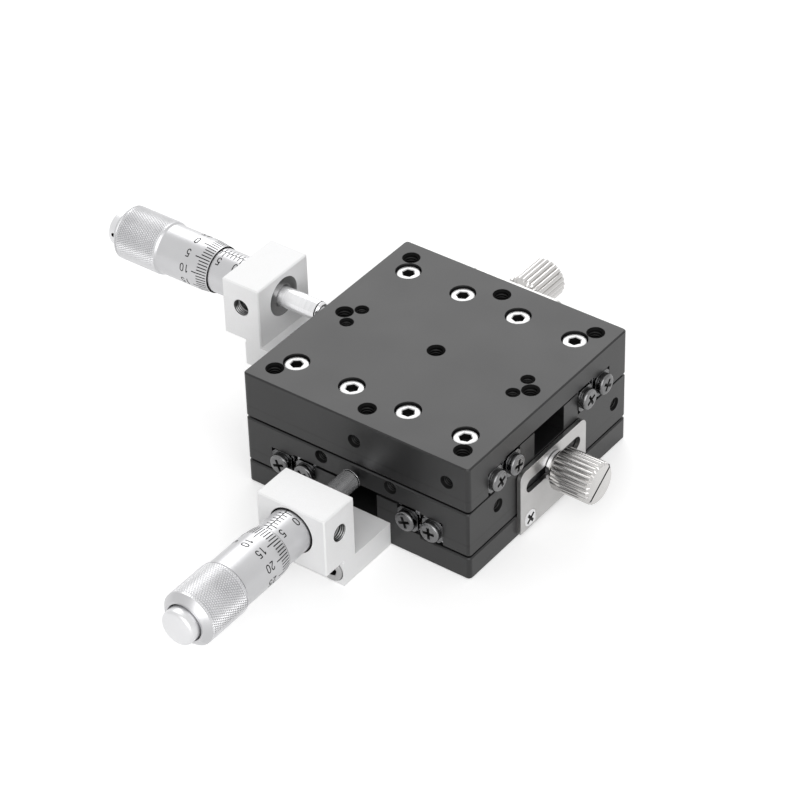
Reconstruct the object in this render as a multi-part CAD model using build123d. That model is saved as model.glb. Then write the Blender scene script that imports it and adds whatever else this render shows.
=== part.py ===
from build123d import *
from math import cos, pi, radians, sin, sqrt
import os

# Two-axis crossed-roller micrometer stage, in millimetres, +Z up.
# Origin: centre of the base plate's bottom face.
# The middle plate slides along Y on the base, and the table slides along X on the middle plate.
# Pieces of the lower axis are drawn in place; those of the upper axis are the same pieces,
# turned a quarter turn about Z and raised by one tier.

# ---- Plates ----
PLATE_SIZE = 60.0
BASE_THICKNESS = 5.75
MIDDLE_SLAB = 5.35          # from the lower rail seat to the top of the middle plate's flange
TABLE_SLAB = 5.6            # from the upper rail seat to the table's top face
PLATE_GAP = 0.5             # seam between two plates
LAND_RISE = 0.65            # the rail land stands this far above the flange
CENTRE_RELIEF = 0.5         # the underside between the rail seats stands this far higher
RIB_DROP = 0.2              # the centre rib ends this far below the rail tops
WALL = 7.0                  # width of a moving plate's side walls, which locate the outer rails
SLOT_HALF = 5.6             # half width of the spring slot in the rib
CORNER_RADIUS = 1.0
EDGE_CHAMFER = 0.3
LOCK_RELIEF = 0.2           # a moving plate stands back this far behind its clamp plate
OVERCUT = 1.0               # a cut or a joined piece runs this far past the face that it crosses

# ---- Travel ----
TRAVEL = 6.5                # each way from the middle, along both axes

# ---- Crossed-roller rails ----
RAIL_WIDTH = 5.5
RAIL_HEIGHT = 6.0
RAIL_GAP = 1.0
RAIL_HOLE_BACK = 2.5        # from the rail's back face to its row of holes
RAIL_HOLE_PITCH = 15.0
RAIL_HOLE_END = 6.5         # least distance from a rail's end to its first hole
ROLLER_DIAMETER = 1.96
ROLLER_LENGTH = 1.8
ROLLER_FIT = 0.02           # between a roller and each flank of its groove
ROLLER_LEAN = 45            # degrees, to one side and the other in turn
ROLLER_PITCH = 4.0
CAGE_THICKNESS = 0.4
CAGE_HEIGHT = 5.0
CAGE_SPARE = 2.0            # from a cage's end to its stop at the end of the travel
CAGE_END = 0.6              # least strip beyond the last pocket
POCKET_FIT = 0.17           # round a roller in its pocket

# ---- Rail end stops ----
STOP_INSET = 0.1            # a stop is this much narrower than its rail on each side
STOP_SHORT = 0.2            # and this much lower at the top and the bottom
STOP_THICKNESS = 0.8
STOP_CORNER = 0.9
STOP_SCREW_HEAD = (2.5, 1.5)        # radius, height
STOP_SCREW_SHANK = (1.2, 4.0)       # radius, length in the rail
STOP_SCREW_ROUND = 0.6
STOP_SCREW_TURN = 25                # degrees that the recess is turned
CROSS_RECESS = (2.8, 0.65, 0.7)     # span, slot width, depth

# ---- Screws: head radius, head height, shank radius, shank length, hexagon, socket depth ----
M2_IN_PLATE = 4.2           # a rail screw's length in its plate
M2_COUNTERBORE = 2.2
M2_SCREW = (1.9, 2.0, 0.9, M2_IN_PLATE + RAIL_HEIGHT - M2_COUNTERBORE, 1.5, 1.0)
M3_SCREW = (2.75, 3.0, 1.45, 6.5, 2.5, 1.5)
M3_LONG_SHANK = 20.0
SOCKET_HEAD_BREAK = 0.15    # broken edge round a cap screw's head
SHANK_FIT = 0.05            # tapped hole over its screw, radial
CLEAR_FIT = 0.25            # clearance hole over its screw, radial
HEAD_FIT = 0.25             # counterbore over its screw head, radial
HOLE_END = 0.4              # a blind hole runs this far past its screw
M3_HEAD_SUNK = 0.5          # table screws end this far below the table's top face

# ---- Mounting holes ----
TAP_M4 = 1.65               # radius of the tapped bore
TAP_M4_MOUTH = 2.1
TAP_M4_DEPTH = 8.0
TAP_M3 = 1.25
TAP_M3_MOUTH = 1.65
GRID_INSET = 5.0            # from a plate's edge to its outer mounting holes
SMALL_TAP_INSET = 7.7       # from the table's edge to the small holes, along X
SMALL_TAP_Y = 2.8           # from the table's middle line to the small holes
SIDE_TAP_DEPTH = 3.0
FRONT_TAP_X = 9.25          # middle plate's -Y face, from its middle line
FRONT_TAP_RISE = 3.0        # above the relieved underside
SIDE_TAPS = ((-1, 10.8, 1.0), (1, 4.5, -0.4))   # +X face: end, inset along Y, rise over the seat
TABLE_TAP_INSET = 5.7       # table's -Y face, from its edge to the outer hole

# ---- Return springs ----
POST_RADIUS = 1.25
POST_FIT = 0.02
POST_SUNK = 4.0             # length of a post inside its plate
POST_TIP = 0.75             # a post runs this far past the spring's wire
POST_INSET = 11.0           # from a plate's edge, along the travel
SPRING_OUTER = 2.4
SPRING_WIRE = 0.6
SPRING_HOOK = 2.5           # length of the hook's straight part
HOOK_FIT = 0.25

# ---- Micrometer brackets, from the plate's side face outwards ----
BRACKET_HALF = 9.0
FOOT_LENGTH = 16.7
FOOT_HEIGHT = 6.0
BLOCK_NEAR = 12.2
BLOCK_FAR = 22.5
BLOCK_STEP = 0.5            # the block's overhang starts this far above the foot
BLOCK_OVER_AXIS = 6.3
BRACKET_HEAD_WALL = 0.2     # beside a screw's counterbore
BRACKET_SCREW_Z = 3.2
BRACKET_HEAD_SUNK = 2.5
BRACKET_HEAD_FIT = 0.15
SET_SCREW_RADIUS = 1.95
SET_SCREW_LENGTH = 2.2
SET_SCREW_HEX = 2.0

# ---- Micrometer heads: distances run outwards from the driven face ----
AXIS_DOWN = 2.55            # from the top of the driven plate's flange to the axis
TIP_GAP = 0.05
BALL_RADIUS = 1.5
BALL_FIT = 0.03
NOSE_START = 1.2
NOSE_STEP = 0.4             # the nose's face is this much smaller in radius than the spindle
NOSE_BEVEL = 0.5
SPINDLE_RADIUS = 2.4
THREAD_RADIUS = 3.2
THREAD_INSIDE = 4.0         # from the thimble's edge to the start of the thread
THREAD_SPARE = 2.0          # the nut bore starts this far ahead of the extended thread
RUNNING_FIT = 0.05
STEM_RADIUS = 4.78
STEM_FIT = 0.02
STEM_FLARE = 0.45           # of the bore's mouth round the spindle
BARREL_RADIUS = 5.3
BARREL_RECESS = 2.0         # the barrel starts this deep in the bracket's outer face
BARREL_RECESS_FIT = 0.35
BARREL_THREAD = 12.0        # from the start of the thread to the barrel's end
NUT_LENGTH = 4.0
NUT_WALL = 1.0
EDGE_CLEAR = 1.0            # between the thimble's edge and the bracket when the spindle is out
THIMBLE_FIT = 0.15
THIMBLE_EDGE_WALL = 0.15
THIMBLE_BEVEL = 3.2         # length of the taper that carries the divisions
THIMBLE_WALL = 0.55
HUB_CLEAR = 1.5             # between the barrel's end and the hub when the spindle is out
HUB_LENGTH = 2.4
HUB_COVER = 1.6             # from the spindle's end to the thimble's end
KNURL_RISE = 0.5
KNURL_LEAD = 0.5
KNURL_LENGTH = 11.4
RIM_LENGTH = 1.6
RIM_STEP = 1.5              # the rim's end is this much smaller in radius than the knurl
RIM_WIDTH = 0.5
CAP_RING = 0.35             # open ring between the cap and the thimble
CAP_SUNK = 0.6
CAP_PROUD = 2.75
CAP_ROUND = 0.8
CAP_SPIGOT = 2.0
SPANNER_HOLE = (0.5, 1.8)   # radius, depth
SPANNER_ANGLE = {"lower": 230, "upper": 82}     # degrees from the top, rightwards seen from the cap

# ---- Locks, drawn on the lower axis ----
CLAMP_HALF = 12.5
CLAMP_BOTTOM = 1.0
CLAMP_OVER_LOCK = 5.0       # from the lock's axis to the clamp plate's top
CLAMP_THICKNESS = 1.0
CLAMP_CORNER = 2.0
LOCK_DOWN = 5.35            # from the top of the moving plate's flange to the lock's axis
CLAMP_SLOT_SPARE = 2.1      # the slot runs this far past the stud at the end of the travel
CLAMP_SCREW_Y = 8.7
CLAMP_SCREW_Z = 3.25
CLAMP_SCREW_HEAD = 2.2
CLAMP_SCREW_TURN = 20               # degrees that the recess is turned
CLAMP_SCREW_SHANK = (1.2, 4.0)
COUNTERSINK_FIT = 0.07
STUD_RADIUS = 1.45
STUD_IN_PLATE = 2.8
LOCK_GAP = 0.15             # the released washer stands this far off the clamp plate
WASHER_RADIUS = 3.5
WASHER_THICKNESS = 0.9
KNOB_RADIUS = 5.0
KNOB_SHOULDER = 3.9
KNOB_SHOULDER_LENGTH = 1.0
KNOB_LENGTH = 11.0
KNOB_END_CHAMFER = 0.5
KNOB_FLUTES = 24
KNOB_FLUTE_DEPTH = 0.45
KNOB_SLOT = (0.6, 1.2, 34.0)        # width, depth, tilt in degrees

# ---- Worked out from the sizes above ----
HALF = PLATE_SIZE / 2
PAST_SIDE = HALF + OVERCUT
GRID = HALF - GRID_INSET
TIER = LAND_RISE + RAIL_HEIGHT + MIDDLE_SLAB
LAND_Z = BASE_THICKNESS + LAND_RISE
SEAT_Z = LAND_Z + RAIL_HEIGHT
MIDDLE_BOTTOM = BASE_THICKNESS + PLATE_GAP
RELIEF_Z = SEAT_Z + CENTRE_RELIEF
TABLE_TOP = SEAT_Z + TIER + TABLE_SLAB
AXIS_Z = BASE_THICKNESS + TIER - AXIS_DOWN
LOCK_Z = BASE_THICKNESS + TIER - LOCK_DOWN
CLAMP_TOP = LOCK_Z + CLAMP_OVER_LOCK
CLAMP_SLOT_HALF = TRAVEL + CLAMP_SLOT_SPARE + STUD_RADIUS + CLEAR_FIT
BLOCK_BOTTOM = FOOT_HEIGHT + BLOCK_STEP
BLOCK_TOP = AXIS_Z + BLOCK_OVER_AXIS
BLOCK_MID = (BLOCK_NEAR + BLOCK_FAR) / 2
BRACKET_SCREW_HALF = BRACKET_HALF - BRACKET_HEAD_WALL - M3_SCREW[0] - BRACKET_HEAD_FIT
WALL_INNER = HALF - WALL
RIB_HALF = WALL_INNER - 2 * RAIL_WIDTH - RAIL_GAP   # the centre rib locates the inner rails
INNER_RAIL = RIB_HALF + RAIL_WIDTH / 2
GAP_CENTRE = RIB_HALF + RAIL_WIDTH + RAIL_GAP / 2
OUTER_RAIL = WALL_INNER - RAIL_WIDTH / 2
RAIL_MID_Z = LAND_Z + RAIL_HEIGHT / 2
INNER_HOLES = RIB_HALF + RAIL_HOLE_BACK
OUTER_HOLES = WALL_INNER - RAIL_HOLE_BACK
STOP_WIDTH = RAIL_WIDTH - 2 * STOP_INSET
STOP_HEIGHT = RAIL_HEIGHT - 2 * STOP_SHORT
RAIL_LENGTH = PLATE_SIZE - 2 * STOP_THICKNESS
RAIL_HOLES = 2 * int((RAIL_LENGTH / 2 - RAIL_HOLE_END) / RAIL_HOLE_PITCH + 0.5)   # none in the middle
HOLE_ROW = [(i - (RAIL_HOLES - 1) / 2) * RAIL_HOLE_PITCH for i in range(RAIL_HOLES)]
ROLLER_SPAN = (ROLLER_DIAMETER + ROLLER_LENGTH) / sqrt(2)      # height of a roller that leans
POCKET_LENGTH = ROLLER_DIAMETER + 2 * POCKET_FIT
POCKET_HEIGHT = ROLLER_SPAN + 2 * POCKET_FIT
CAGE_LENGTH = RAIL_LENGTH - TRAVEL - 2 * CAGE_SPARE
ROLLERS = 1 + int((CAGE_LENGTH - POCKET_LENGTH - 2 * CAGE_END) / ROLLER_PITCH)
ROLLER_ROW = [(i - (ROLLERS - 1) / 2) * ROLLER_PITCH for i in range(ROLLERS)]
GROOVE_SIDE = ROLLER_DIAMETER + 2 * ROLLER_FIT      # of the square roller channel
M2_TAP_DEPTH = M2_IN_PLATE + HOLE_END
TABLE_SCREW_SEAT = TABLE_TOP - M3_HEAD_SUNK - M3_SCREW[1]
STEM_BORE = STEM_RADIUS + STEM_FIT
STEM_MOUTH = SPINDLE_RADIUS + RUNNING_FIT + STEM_FLARE
BARREL_START = BLOCK_FAR - BARREL_RECESS
THIMBLE_EDGE = BLOCK_FAR + EDGE_CLEAR + TRAVEL
THREAD_START = THIMBLE_EDGE + THREAD_INSIDE
BARREL_END = THREAD_START + BARREL_THREAD
HUB_START = BARREL_END + HUB_CLEAR + TRAVEL
SPINDLE_END = HUB_START + HUB_LENGTH
THIMBLE_END = SPINDLE_END + HUB_COVER
CAP_END = THIMBLE_END + CAP_PROUD
KNURL_END = THIMBLE_END - RIM_LENGTH
KNURL_START = KNURL_END - KNURL_LENGTH
NUT_INNER = BARREL_RADIUS - NUT_WALL
THIMBLE_BORE = BARREL_RADIUS + THIMBLE_FIT
THIMBLE_RADIUS = THIMBLE_BORE + THIMBLE_WALL
KNURL_RADIUS = THIMBLE_RADIUS + KNURL_RISE
RIM_RADIUS = KNURL_RADIUS - RIM_STEP
CAP_RADIUS = RIM_RADIUS - RIM_WIDTH - CAP_RING
CLAMP_FACE = HALF + CLAMP_THICKNESS
KNOB_START = CLAMP_FACE + LOCK_GAP + WASHER_THICKNESS
BALL_CENTRE = TIP_GAP + BALL_RADIUS
POST_OFFSET = HALF - POST_INSET
SPRING_AXIS_Z = (BASE_THICKNESS + RELIEF_Z) / 2
POST_REACH = RELIEF_Z - SPRING_AXIS_Z + SPRING_WIRE / 2 + POST_TIP


# ---- Helpers ----
def span_box(x, y, z):
    """A box from three (low, high) pairs."""
    centre = Pos(sum(x) / 2, sum(y) / 2, sum(z) / 2)
    return centre * Box(x[1] - x[0], y[1] - y[0], z[1] - z[0])


def rod(origin, direction, radius, length):
    """A cylinder that starts at origin and runs along direction."""
    body = Cylinder(radius, length, align=(Align.CENTER, Align.CENTER, Align.MIN))
    return Plane(origin=origin, z_dir=direction).location * body


def tapped_hole(origin, direction, radius, depth, mouth):
    """A bore cut inwards along direction, with a countersunk mouth."""
    sink = mouth - radius
    cone = Cone(mouth, radius, sink, align=(Align.CENTER, Align.CENTER, Align.MIN))
    cone = Plane(origin=origin, z_dir=direction).location * cone
    return rod(origin, direction, radius, depth) + cone


def revolved(outline, z):
    """A turned piece on an axis along -Y at height z, from (distance, radius) points."""
    points = [(radius, distance) for distance, radius in outline]
    face = make_face(Polyline(*points, close=True))
    solid = revolve(Plane.XY * face, Axis.Y)
    return Pos(0, -HALF, z) * Rot(0, 0, 180) * solid


def upper(shape):
    """The same piece on the upper axis: -Y turns to -X."""
    return Pos(0, 0, TIER) * Rot(0, 0, -90) * shape


def upper_lock(shape):
    """The same lock piece on the upper axis: +X turns to +Y."""
    return Pos(0, 0, TIER) * Rot(0, 0, 90) * shape


def socket_screw(origin, direction, size, shank_length=None):
    """Cap screw: origin is the centre under its head, direction points along its shank."""
    head_radius, head_height, shank_radius, length, hexagon, depth = size
    length = shank_length or length
    head = Cylinder(head_radius, head_height, align=(Align.CENTER, Align.CENTER, Align.MAX))
    head = chamfer(head.edges().group_by(Axis.Z)[0], SOCKET_HEAD_BREAK)
    socket = extrude(RegularPolygon(hexagon / 2, 6, major_radius=False), depth)
    head -= Pos(0, 0, -head_height) * socket
    shank = Cylinder(shank_radius, length, align=(Align.CENTER, Align.CENTER, Align.MIN))
    return Plane(origin=origin, z_dir=direction).location * (head + shank)


def cross_recess(turn):
    """Two crossed slots that open at z = 0, turned by some degrees about Z."""
    span, width, depth = CROSS_RECESS
    wing = Pos(0, 0, -depth / 2) * Box(span, width, depth)
    return Rot(0, 0, turn) * (wing + Rot(0, 0, 90) * wing)


def plate_blank(low_z, high_z):
    """A square plate with rounded corners and broken edges."""
    blank = span_box((-HALF, HALF), (-HALF, HALF), (low_z, high_z))
    blank = fillet(blank.edges().filter_by(Axis.Z), CORNER_RADIUS)
    rims = blank.edges().group_by(Axis.Z)
    return chamfer(rims[0] + rims[-1], EDGE_CHAMFER)


def rail_carrier(floor_z):
    """Land and slotted centre rib on top of a plate, along Y, above floor_z."""
    land = span_box((-GAP_CENTRE, GAP_CENTRE), (-HALF, HALF), (floor_z - OVERCUT, floor_z + LAND_RISE))
    rib_top = floor_z + LAND_RISE + RAIL_HEIGHT - RIB_DROP
    rib = span_box((-RIB_HALF, RIB_HALF), (-HALF, HALF), (floor_z - OVERCUT, rib_top))
    slot = span_box((-SLOT_HALF, SLOT_HALF), (-HALF, HALF), (floor_z, rib_top + OVERCUT))
    return land + rib - slot


def rail_channel(bottom_z, seat_z):
    """The space cut from the underside of a moving plate, along Y."""
    channel = span_box((-WALL_INNER, WALL_INNER), (-PAST_SIDE, PAST_SIDE), (bottom_z - OVERCUT, seat_z))
    relief = span_box((-GAP_CENTRE, GAP_CENTRE), (-PAST_SIDE, PAST_SIDE), (seat_z, seat_z + CENTRE_RELIEF))
    return channel + relief


# ---- Plates ----
def rail_taps(across, z, direction, size, depth):
    """Tapped holes for the screws of one pair of rails that run along Y."""
    radius = size[2] + SHANK_FIT
    holes = [rod((side * across, y, z), direction, radius, depth) for side in (-1, 1) for y in HOLE_ROW]
    return Compound(holes)


def bracket_taps():
    """Holes in a plate's -Y face for the bracket's screws."""
    depth = M3_LONG_SHANK - FOOT_LENGTH + BRACKET_HEAD_SUNK + HOLE_END
    radius = M3_SCREW[2] + SHANK_FIT
    return Compound([rod((side * BRACKET_SCREW_HALF, -HALF, BRACKET_SCREW_Z), (0, 1, 0), radius, depth)
                     for side in (-1, 1)])


def clamp_taps():
    """Holes in a plate's +X face for the clamp plate's screws."""
    radius = CLAMP_SCREW_SHANK[0] + SHANK_FIT
    depth = CLAMP_SCREW_SHANK[1] + HOLE_END
    return Compound([rod((HALF, side * CLAMP_SCREW_Y, CLAMP_SCREW_Z), (-1, 0, 0), radius, depth)
                     for side in (-1, 1)])


def stud_hole():
    """The tapped hole that a lower-axis lock stud turns in."""
    depth = STUD_IN_PLATE + LOCK_RELIEF + HOLE_END / 2
    return rod((HALF, 0, LOCK_Z), (-1, 0, 0), STUD_RADIUS + RUNNING_FIT, depth)


def post_hole(along, z, up):
    """The hole for a spring post at distance along from the centre."""
    return rod((0, along, z), (0, 0, up), POST_RADIUS + POST_FIT, POST_SUNK)


def base_plate():
    plate = plate_blank(0, BASE_THICKNESS) + rail_carrier(BASE_THICKNESS)
    plate -= rail_taps(INNER_HOLES, LAND_Z, (0, 0, -1), M2_SCREW, M2_TAP_DEPTH)
    plate -= bracket_taps()
    plate -= clamp_taps()
    plate -= post_hole(-POST_OFFSET, BASE_THICKNESS, -1)
    for x in (-GRID, GRID):
        for y in (-GRID, GRID):
            plate -= tapped_hole((x, y, 0), (0, 0, 1), TAP_M4, BASE_THICKNESS, TAP_M4_MOUTH)
    return plate


def middle_plate():
    top = BASE_THICKNESS + TIER
    plate = plate_blank(MIDDLE_BOTTOM, top) + upper(rail_carrier(BASE_THICKNESS))
    plate -= rail_channel(MIDDLE_BOTTOM, SEAT_Z)
    plate -= span_box((HALF - LOCK_RELIEF, PAST_SIDE), (-PAST_SIDE, PAST_SIDE), (0, TABLE_TOP))
    plate -= rail_taps(OUTER_HOLES, SEAT_Z, (0, 0, 1), M2_SCREW, M2_TAP_DEPTH)
    plate -= upper(rail_taps(INNER_HOLES, LAND_Z, (0, 0, -1), M2_SCREW, M2_TAP_DEPTH))
    plate -= upper(bracket_taps())
    plate -= upper_lock(clamp_taps())
    plate -= stud_hole()
    plate -= post_hole(POST_OFFSET, RELIEF_Z, 1)
    plate -= upper(post_hole(-POST_OFFSET, BASE_THICKNESS, -1))
    for x in (-FRONT_TAP_X, FRONT_TAP_X):
        mouth = (x, -HALF, RELIEF_Z + FRONT_TAP_RISE)
        plate -= tapped_hole(mouth, (0, 1, 0), TAP_M3, SIDE_TAP_DEPTH, TAP_M3_MOUTH)
    for end, inset, rise in SIDE_TAPS:
        mouth = (HALF - LOCK_RELIEF, end * (HALF - inset), SEAT_Z + rise)
        plate -= tapped_hole(mouth, (-1, 0, 0), TAP_M3, SIDE_TAP_DEPTH, TAP_M3_MOUTH)
    return plate


def table_plate():
    bottom = MIDDLE_BOTTOM + TIER
    plate = plate_blank(bottom, TABLE_TOP)
    plate -= upper(rail_channel(MIDDLE_BOTTOM, SEAT_Z))
    plate -= span_box((-PAST_SIDE, PAST_SIDE), (HALF - LOCK_RELIEF, PAST_SIDE), (0, TABLE_TOP + OVERCUT))
    for side in (-1, 1):
        for x in HOLE_ROW:
            spot = (x, side * OUTER_HOLES, TABLE_SCREW_SEAT)
            plate -= rod(spot, (0, 0, 1), M3_SCREW[0] + HEAD_FIT, TABLE_SLAB)
            plate -= rod(spot, (0, 0, -1), M3_SCREW[2] + CLEAR_FIT, TABLE_SLAB)
    for x in (-GRID, 0, GRID):
        for y in (-GRID, 0, GRID):
            depth = TABLE_SLAB if y == 0 else TAP_M4_DEPTH
            plate -= tapped_hole((x, y, TABLE_TOP), (0, 0, -1), TAP_M4, depth, TAP_M4_MOUTH)
    for x in (SMALL_TAP_INSET - HALF, HALF - SMALL_TAP_INSET):
        for y in (-SMALL_TAP_Y, SMALL_TAP_Y):
            plate -= tapped_hole((x, y, TABLE_TOP), (0, 0, -1), TAP_M3, TABLE_SLAB, TAP_M3_MOUTH)
    for x in (0, HALF - TABLE_TAP_INSET):
        mouth = (x, -HALF, LOCK_Z + TIER)
        plate -= tapped_hole(mouth, (0, 1, 0), TAP_M3, SIDE_TAP_DEPTH, TAP_M3_MOUTH)
    plate -= upper_lock(stud_hole())
    plate -= upper(post_hole(POST_OFFSET, RELIEF_Z, 1))
    return plate


# ---- Crossed-roller rails ----
def rail(inner, side, counterbore_up):
    """One rail along Y. counterbore_up is 1 or -1 for the head's side, or 0 for tapped holes."""
    across = side * (INNER_RAIL if inner else OUTER_RAIL)
    holes = side * (INNER_HOLES if inner else OUTER_HOLES)
    half_length = RAIL_LENGTH / 2
    block = span_box((across - RAIL_WIDTH / 2, across + RAIL_WIDTH / 2),
                     (-half_length, half_length), (LAND_Z, SEAT_Z))
    channel = Rot(0, ROLLER_LEAN, 0) * Box(GROOVE_SIDE, RAIL_LENGTH + 2 * OVERCUT, GROOVE_SIDE)
    block -= Pos(side * GAP_CENTRE, 0, RAIL_MID_Z) * channel
    for y in HOLE_ROW:
        if counterbore_up == 0:
            block -= rod((holes, y, LAND_Z), (0, 0, 1), M3_SCREW[2] + SHANK_FIT, RAIL_HEIGHT)
            continue
        block -= rod((holes, y, LAND_Z), (0, 0, 1), M2_SCREW[2] + CLEAR_FIT, RAIL_HEIGHT)
        face = SEAT_Z if counterbore_up > 0 else LAND_Z
        block -= rod((holes, y, face), (0, 0, -counterbore_up), M2_SCREW[0] + HEAD_FIT, M2_COUNTERBORE)
    for end in (-1, 1):
        mouth = (across, end * half_length, RAIL_MID_Z)
        depth = STOP_SCREW_SHANK[1] + HOLE_END
        block -= rod(mouth, (0, -end, 0), STOP_SCREW_SHANK[0] + SHANK_FIT, depth)
    return block


def rail_screws(across, seat_z, direction, size):
    """The screws of one pair of rails."""
    return [socket_screw((side * across, y, seat_z), direction, size)
            for side in (-1, 1) for y in HOLE_ROW]


def stop_plate(across, end):
    """Cage stop on the end of a rail."""
    outline = Rectangle(STOP_WIDTH, STOP_HEIGHT)
    outline = chamfer(outline.vertices(), STOP_CORNER)
    outline -= Circle(STOP_SCREW_SHANK[0] + CLEAR_FIT)
    plate = extrude(outline, STOP_THICKNESS)
    spot = Plane(origin=(across, end * RAIL_LENGTH / 2, RAIL_MID_Z), x_dir=(1, 0, 0), z_dir=(0, end, 0))
    return spot.location * plate


def pan_screw(across, end):
    """Pan-head screw through a cage stop, with a cross recess."""
    radius, height = STOP_SCREW_HEAD
    head = Cylinder(radius, height, align=(Align.CENTER, Align.CENTER, Align.MIN))
    head = fillet(head.edges().group_by(Axis.Z)[-1], STOP_SCREW_ROUND)
    head -= Pos(0, 0, height) * cross_recess(STOP_SCREW_TURN * (1 if across * end > 0 else -1))
    length = STOP_SCREW_SHANK[1] + STOP_THICKNESS
    shank = Cylinder(STOP_SCREW_SHANK[0], length, align=(Align.CENTER, Align.CENTER, Align.MAX))
    spot = Plane(origin=(across, end * HALF, RAIL_MID_Z), x_dir=(1, 0, 0), z_dir=(0, end, 0))
    return spot.location * (head + shank)


def at_rail_ends(maker, across):
    return [maker(side * across, end) for side in (-1, 1) for end in (-1, 1)]


def cage(side):
    """A thin strip with a pocket for each roller, in the gap between two rails."""
    strip = Box(CAGE_THICKNESS, CAGE_LENGTH, CAGE_HEIGHT)
    for y in ROLLER_ROW:
        strip -= Pos(0, y, 0) * Box(CAGE_THICKNESS + 2 * OVERCUT, POCKET_LENGTH, POCKET_HEIGHT)
    return Pos(side * GAP_CENTRE, 0, RAIL_MID_Z) * strip


def rollers():
    """Rollers of both cages, crossed in turn."""
    pieces = []
    for side in (-1, 1):
        for i, y in enumerate(ROLLER_ROW):
            lean = ROLLER_LEAN if i % 2 else -ROLLER_LEAN
            body = Cylinder(ROLLER_DIAMETER / 2, ROLLER_LENGTH)
            pieces.append(Pos(side * GAP_CENTRE, y, RAIL_MID_Z) * Rot(0, lean, 0) * body)
    return pieces


# ---- Return spring ----
def spring_post(along, z, up):
    """A pin for one end of the spring, pressed into a plate's face at height z."""
    start = (0, along, z + up * POST_SUNK)
    return rod(start, (0, 0, -up), POST_RADIUS, POST_SUNK + POST_REACH)


def return_spring():
    """Extension spring envelope: a sleeve of close coils with a ring on each post."""
    ring_inner = POST_RADIUS + HOOK_FIT
    ring_middle = ring_inner + SPRING_WIRE / 2
    body_half = POST_OFFSET - ring_middle - SPRING_HOOK
    body = (0, -body_half, SPRING_AXIS_Z)
    spring = rod(body, (0, 1, 0), SPRING_OUTER, 2 * body_half)
    spring -= rod(body, (0, 1, 0), SPRING_OUTER - SPRING_WIRE, 2 * body_half)
    for end in (-1, 1):
        cover = rod((0, end * (body_half - SPRING_WIRE), SPRING_AXIS_Z), (0, end, 0),
                    SPRING_OUTER, SPRING_WIRE)
        hook = rod((0, end * (body_half - SPRING_WIRE / 2), SPRING_AXIS_Z), (0, end, 0),
                   SPRING_WIRE / 2, SPRING_HOOK + SPRING_WIRE / 2)
        ring = Pos(0, end * POST_OFFSET, SPRING_AXIS_Z) * Torus(ring_middle, SPRING_WIRE / 2)
        spring += cover + hook + ring
    return spring


# ---- Micrometer brackets ----
def bracket():
    """L-shaped bracket on a plate's -Y face."""
    half = (-BRACKET_HALF, BRACKET_HALF)
    foot = span_box(half, (-HALF - FOOT_LENGTH, -HALF), (0, FOOT_HEIGHT))
    link = span_box(half, (-HALF - FOOT_LENGTH, -HALF - BLOCK_NEAR), (0, BLOCK_TOP - OVERCUT))
    block = span_box(half, (-HALF - BLOCK_FAR, -HALF - BLOCK_NEAR), (BLOCK_BOTTOM, BLOCK_TOP))
    block = chamfer(block.edges(), EDGE_CHAMFER)
    link = chamfer(link.edges().filter_by(Axis.Z), EDGE_CHAMFER)
    body = foot + link + block
    recess = BARREL_RADIUS + BARREL_RECESS_FIT
    body -= rod((0, -HALF - BLOCK_NEAR, AXIS_Z), (0, -1, 0), STEM_BORE, BLOCK_FAR)
    body -= rod((0, -HALF - BARREL_START, AXIS_Z), (0, -1, 0), recess, BLOCK_FAR)
    for side in (-1, 1):
        spot = (side * BRACKET_SCREW_HALF, -HALF - FOOT_LENGTH + BRACKET_HEAD_SUNK, BRACKET_SCREW_Z)
        body -= rod(spot, (0, 1, 0), M3_SCREW[2] + CLEAR_FIT, FOOT_LENGTH)
        body -= rod(spot, (0, -1, 0), M3_SCREW[0] + BRACKET_HEAD_FIT, M3_SCREW[1])
    mouth = (BRACKET_HALF, -HALF - BLOCK_MID, AXIS_Z)
    radius = SET_SCREW_RADIUS + SHANK_FIT
    body -= tapped_hole(mouth, (-1, 0, 0), radius, BRACKET_HALF - OVERCUT, radius + EDGE_CHAMFER / 2)
    return body


def bracket_screws():
    y = -HALF - FOOT_LENGTH + BRACKET_HEAD_SUNK
    return [socket_screw((side * BRACKET_SCREW_HALF, y, BRACKET_SCREW_Z), (0, 1, 0),
                         M3_SCREW, M3_LONG_SHANK) for side in (-1, 1)]


def set_screw():
    """Socket set screw that holds the micrometer's stem."""
    body = Cylinder(SET_SCREW_RADIUS, SET_SCREW_LENGTH, align=(Align.CENTER, Align.CENTER, Align.MIN))
    socket = extrude(RegularPolygon(SET_SCREW_HEX / 2, 6, major_radius=False), SET_SCREW_LENGTH / 2)
    body -= Pos(0, 0, SET_SCREW_LENGTH / 2) * socket
    spot = Plane(origin=(STEM_BORE + STEM_FIT, -HALF - BLOCK_MID, AXIS_Z), z_dir=(1, 0, 0))
    return spot.location * body


# ---- Micrometer heads ----
def sleeve():
    """Stem in the bracket and graduated barrel under the thimble, in one piece."""
    front_bore = SPINDLE_RADIUS + RUNNING_FIT
    rear_bore = THREAD_RADIUS + RUNNING_FIT
    rear_start = THREAD_START - TRAVEL - THREAD_SPARE
    return revolved([
        (BLOCK_NEAR, STEM_MOUTH), (BLOCK_NEAR, STEM_RADIUS), (BARREL_START, STEM_RADIUS),
        (BARREL_START, BARREL_RADIUS), (BARREL_END - NUT_LENGTH, BARREL_RADIUS),
        (BARREL_END - NUT_LENGTH, NUT_INNER - RUNNING_FIT), (BARREL_END, NUT_INNER - RUNNING_FIT),
        (BARREL_END, rear_bore), (rear_start, rear_bore), (rear_start, front_bore),
        (BLOCK_NEAR + STEM_FLARE, front_bore)], AXIS_Z)


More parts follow.
